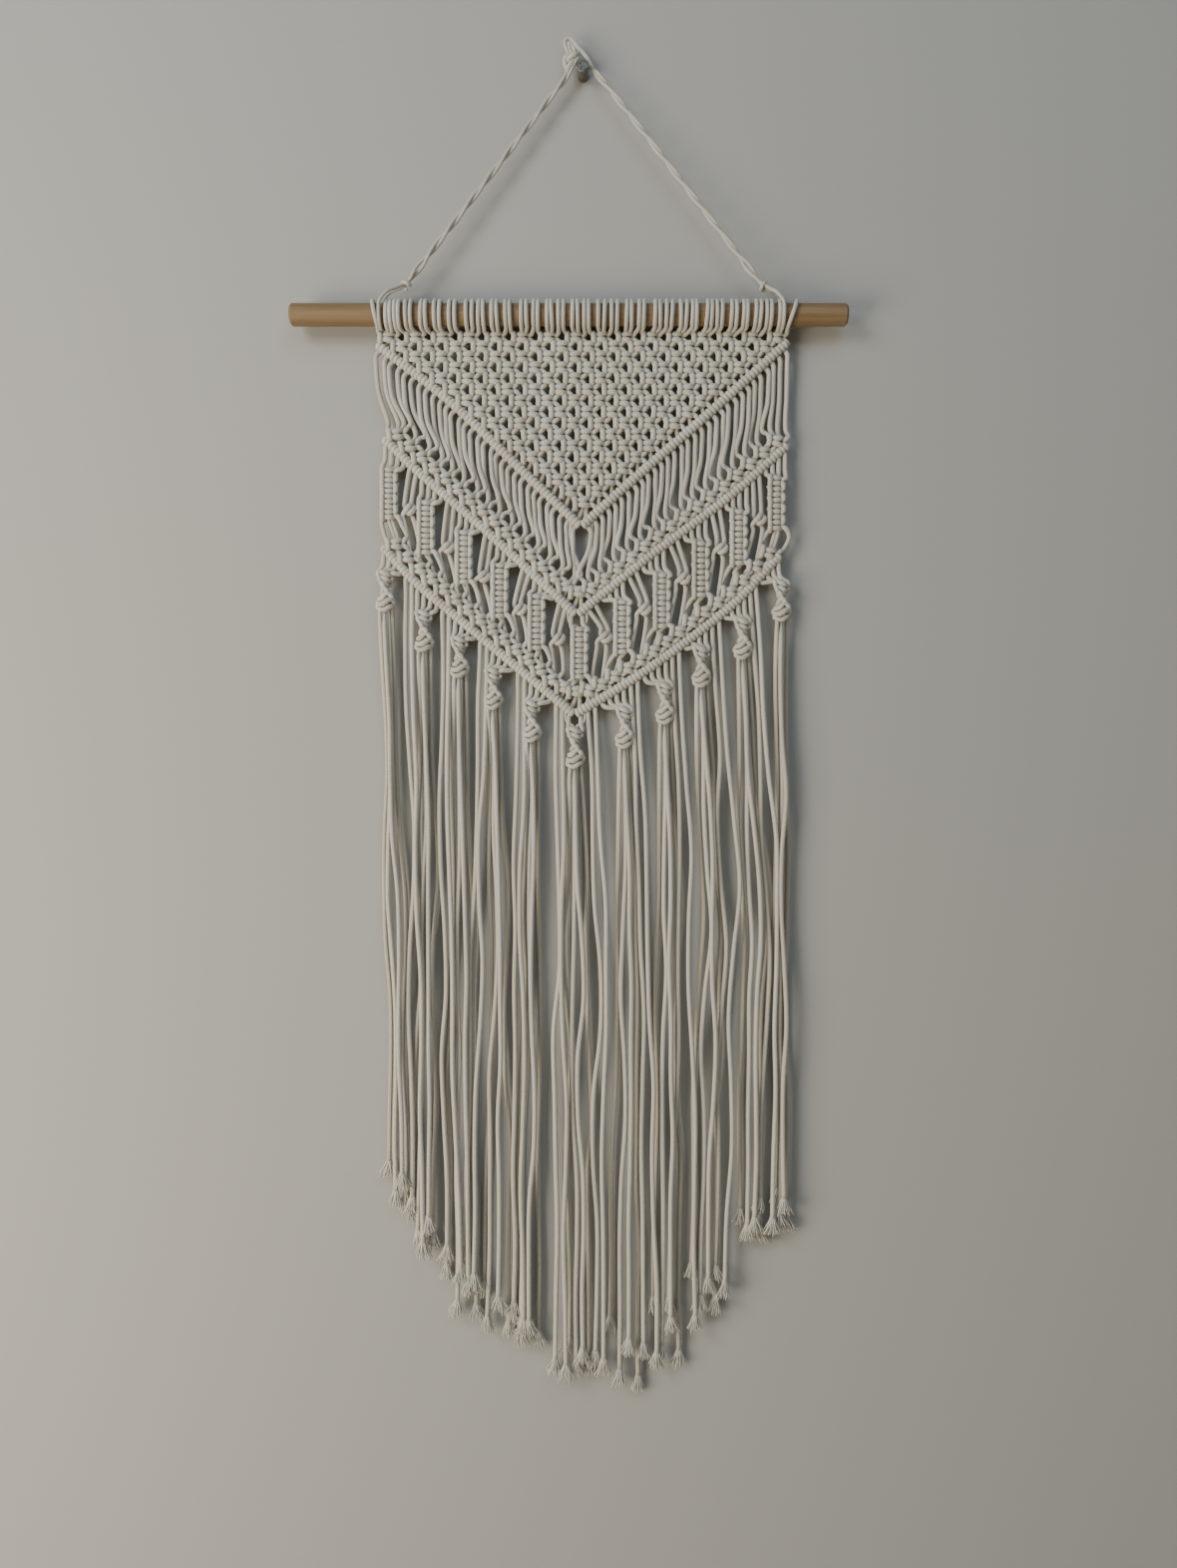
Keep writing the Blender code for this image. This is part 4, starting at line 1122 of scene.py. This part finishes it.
# The two cords of a leg lie round its centre line on opposite sides, a turn each lay, and open out above
# its knot. They are one cord, which goes round the dowel between them. The knot is a turn of its own
# round both.
def hangerPaths():
    paths = []
    for number, (leg, x) in enumerate(zip(hanger["legs"], hanger["loopX"])):
        side = -1.0 if number == 0 else 1.0
        knot = np.array(leg[-1])
        line = smoothPath(np.column_stack([leg, np.full(4, hanger["cord"])]), hanger["legStep"])[1:-1]
        along = np.concatenate([[0.0], np.cumsum(np.linalg.norm(np.diff(line[:, :3], axis=0), axis=1))])
        way = unit(np.gradient(line[:, :3], axis=0))
        flat = unit(np.cross(way, (0.0, 1.0, 0.0)))
        deep = np.cross(flat, way)
        angle = hanger["phase"][number] + 2 * np.pi * along / hanger["lay"]
        apart = hanger["apart"] * np.interp(along[-1] - along, *hanger["opening"])
        cords = []
        for turn, start in ((0.0, 0), (np.pi, 1)):
            offset = (apart * np.cos(angle + turn))[:, None] * flat
            offset = offset + (apart * np.sin(angle + turn))[:, None] * deep
            cord = np.column_stack([line[:, :3] + offset, line[:, 3]])
            cords.append(np.vstack([hanger["starts"][number][start], cord]))
        loop = [(knot[0] + 5.2 * side, knot[1] - 3.0, knot[2] - 2.8)]
        loop.append((x - 5.6 * side, knot[1] - 8.6, dowelPlace["z"] + 13.2))
        loop = [(*row, hanger["cord"]) for row in loop]
        shifts, turned, radii = np.array(hanger["loop"]).T
        loop += list(aroundDowel(x - shifts * side, turned, radii, hanger["cord"]))
        loop.append((x - 4.6 * side, knot[1] + 3.6, dowelPlace["z"] + 16.6, hanger["cord"]))
        loop.append((knot[0] + 3.0 * side, knot[1] + 1.6, knot[2] - 1.0, hanger["cord"]))
        paths.append(np.vstack([cords[0], loop, cords[1][::-1]]) * (1.0, 1.0, 1.0, hanger["girth"]))
        turns = np.radians(np.arange(0.0, 421.0, 35.0))
        tie = hanger["tie"]
        back = np.linspace(tie["half"], -tie["half"], len(turns))
        ring = knot + way[-1] * back[:, None] + (tie["flat"] * np.cos(turns))[:, None] * flat[-1]
        ring = ring + (tie["deep"] * np.sin(turns))[:, None] * deep[-1]
        paths.append(np.column_stack([ring, np.full(len(turns), tie["cord"])]))
    paths += [np.array(rows) for rows in hanger["knotTurns"]]
    return [smoothPath(path, drawing["hangerStep"]) for path in paths]


# Where a strand is cut: the first point this far below the upper bar's centre line, and this many points
# on. The two parts share two points.
panelCut = {"below": 1.0, "onward": 12, "shared": 2}


# The panel is cut into four meshes: the net and the lower part, left and right. A strand passes from one
# to the next inside the upper bar, where the cut is hidden.
def cutPanel():
    groups = {"netLeft": [], "netRight": [], "lowLeft": [], "lowRight": []}
    lineX, lineZ = np.array(bars["lines"][0]).T
    for s in range(strandCount):
        path = smoothPath(strands.whole(s), drawing["panelStep"])
        side = "Left" if s < apex else "Right"
        under = path[:, 2] < np.interp(path[:, 0], lineX, lineZ) - panelCut["below"]
        cut = (int(np.argmax(under)) if under.any() else len(path)) + panelCut["onward"]
        groups["net" + side].append(path[: cut + panelCut["shared"]])
        groups["low" + side].append(path[cut:])
    return groups


# A plane of the stage. A one-sided one is clear from behind, so that the back of the piece can be seen.
def stagePlane(name, corners, tint, oneSided=False):
    mesh = bpy.data.meshes.new(name)
    mesh.from_pydata(corners, [], [(0, 1, 2, 3)])
    material, shader, tree = newMaterial(name)
    shader.inputs["Base Color"].default_value = (*tint, 1.0)
    shader.inputs["Roughness"].default_value = 0.9
    if oneSided:
        side = tree.nodes.new("ShaderNodeNewGeometry")
        clear = tree.nodes.new("ShaderNodeBsdfTransparent")
        both = tree.nodes.new("ShaderNodeMixShader")
        tree.links.new(side.outputs["Backfacing"], both.inputs[0])
        tree.links.new(shader.outputs[0], both.inputs[1])
        tree.links.new(clear.outputs[0], both.inputs[2])
        tree.links.new(both.outputs[0], tree.nodes["Material Output"].inputs["Surface"])
    mesh.materials.append(material)
    plane = bpy.data.objects.new(name, mesh)
    bpy.context.scene.collection.objects.link(plane)


setCamera()
for row in studio["lamps"]:
    softLight(*row)
setRoom()
wallY, floorZ = studio["wallY"] * mm, studio["floorZ"] * mm
reach, top = studio["reach"], studio["wallTop"]
wall = ((-reach, wallY, floorZ), (reach, wallY, floorZ), (reach, wallY, top), (-reach, wallY, top))
floor = ((-reach, -reach, floorZ), (reach, -reach, floorZ), (reach, wallY, floorZ), (-reach, wallY, floorZ))
stagePlane("backdrop", wall, studio["wallTint"], True)
stagePlane("ground", floor, studio["floorTint"])

dressNode("dowel", woodMaterial())
dressNode("wall_nail", nailMaterial())
print("dowel and nail dressed")

loopOver()
tieNet()
tieBar(0)
print("net tied")
hangOpen(1)
tieRow(1)
tieBar(1)
tieSennits()
print("sennits tied")
tieRow(2)
tieBar(2)
for row in spirals["places"]:
    tieSpiral(*row)
print("spirals tied")

cottonPanel = cottonMaterial("panel cotton", 0.2)
cottonFringe = cottonMaterial("fringe cotton", 0.45, 0.6)
for name, paths in cutPanel().items():
    piece = cordPiece(name, paths, drawing["panelSides"], cottonPanel)
    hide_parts("knotted_panel")

fringePaths = hangFringe()
smooth = [smoothPath(path, drawing["fringeStep"]) for path in fringePaths]
fringePiece = cordPiece("fringeCords", smooth, drawing["fringeSides"], cottonFringe)
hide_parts("fringe")
yarnPaths = frayedYarns(fringePaths)
endTones = 0.85 + 0.4 * random.random(len(yarnPaths))
cottonEnd = cottonMaterial("end cotton", 0.0, 0.3, 0.1)
yarnPiece = cordPiece("frayedEnds", yarnPaths, drawing["yarnSides"], cottonEnd, endTones)
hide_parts("fringe")

cottonHanger = cottonMaterial("hanger cotton", 0.3)
hangerPiece = cordPiece("hangerCord", hangerPaths(), drawing["hangerSides"], cottonHanger)
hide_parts("hanger_cord")
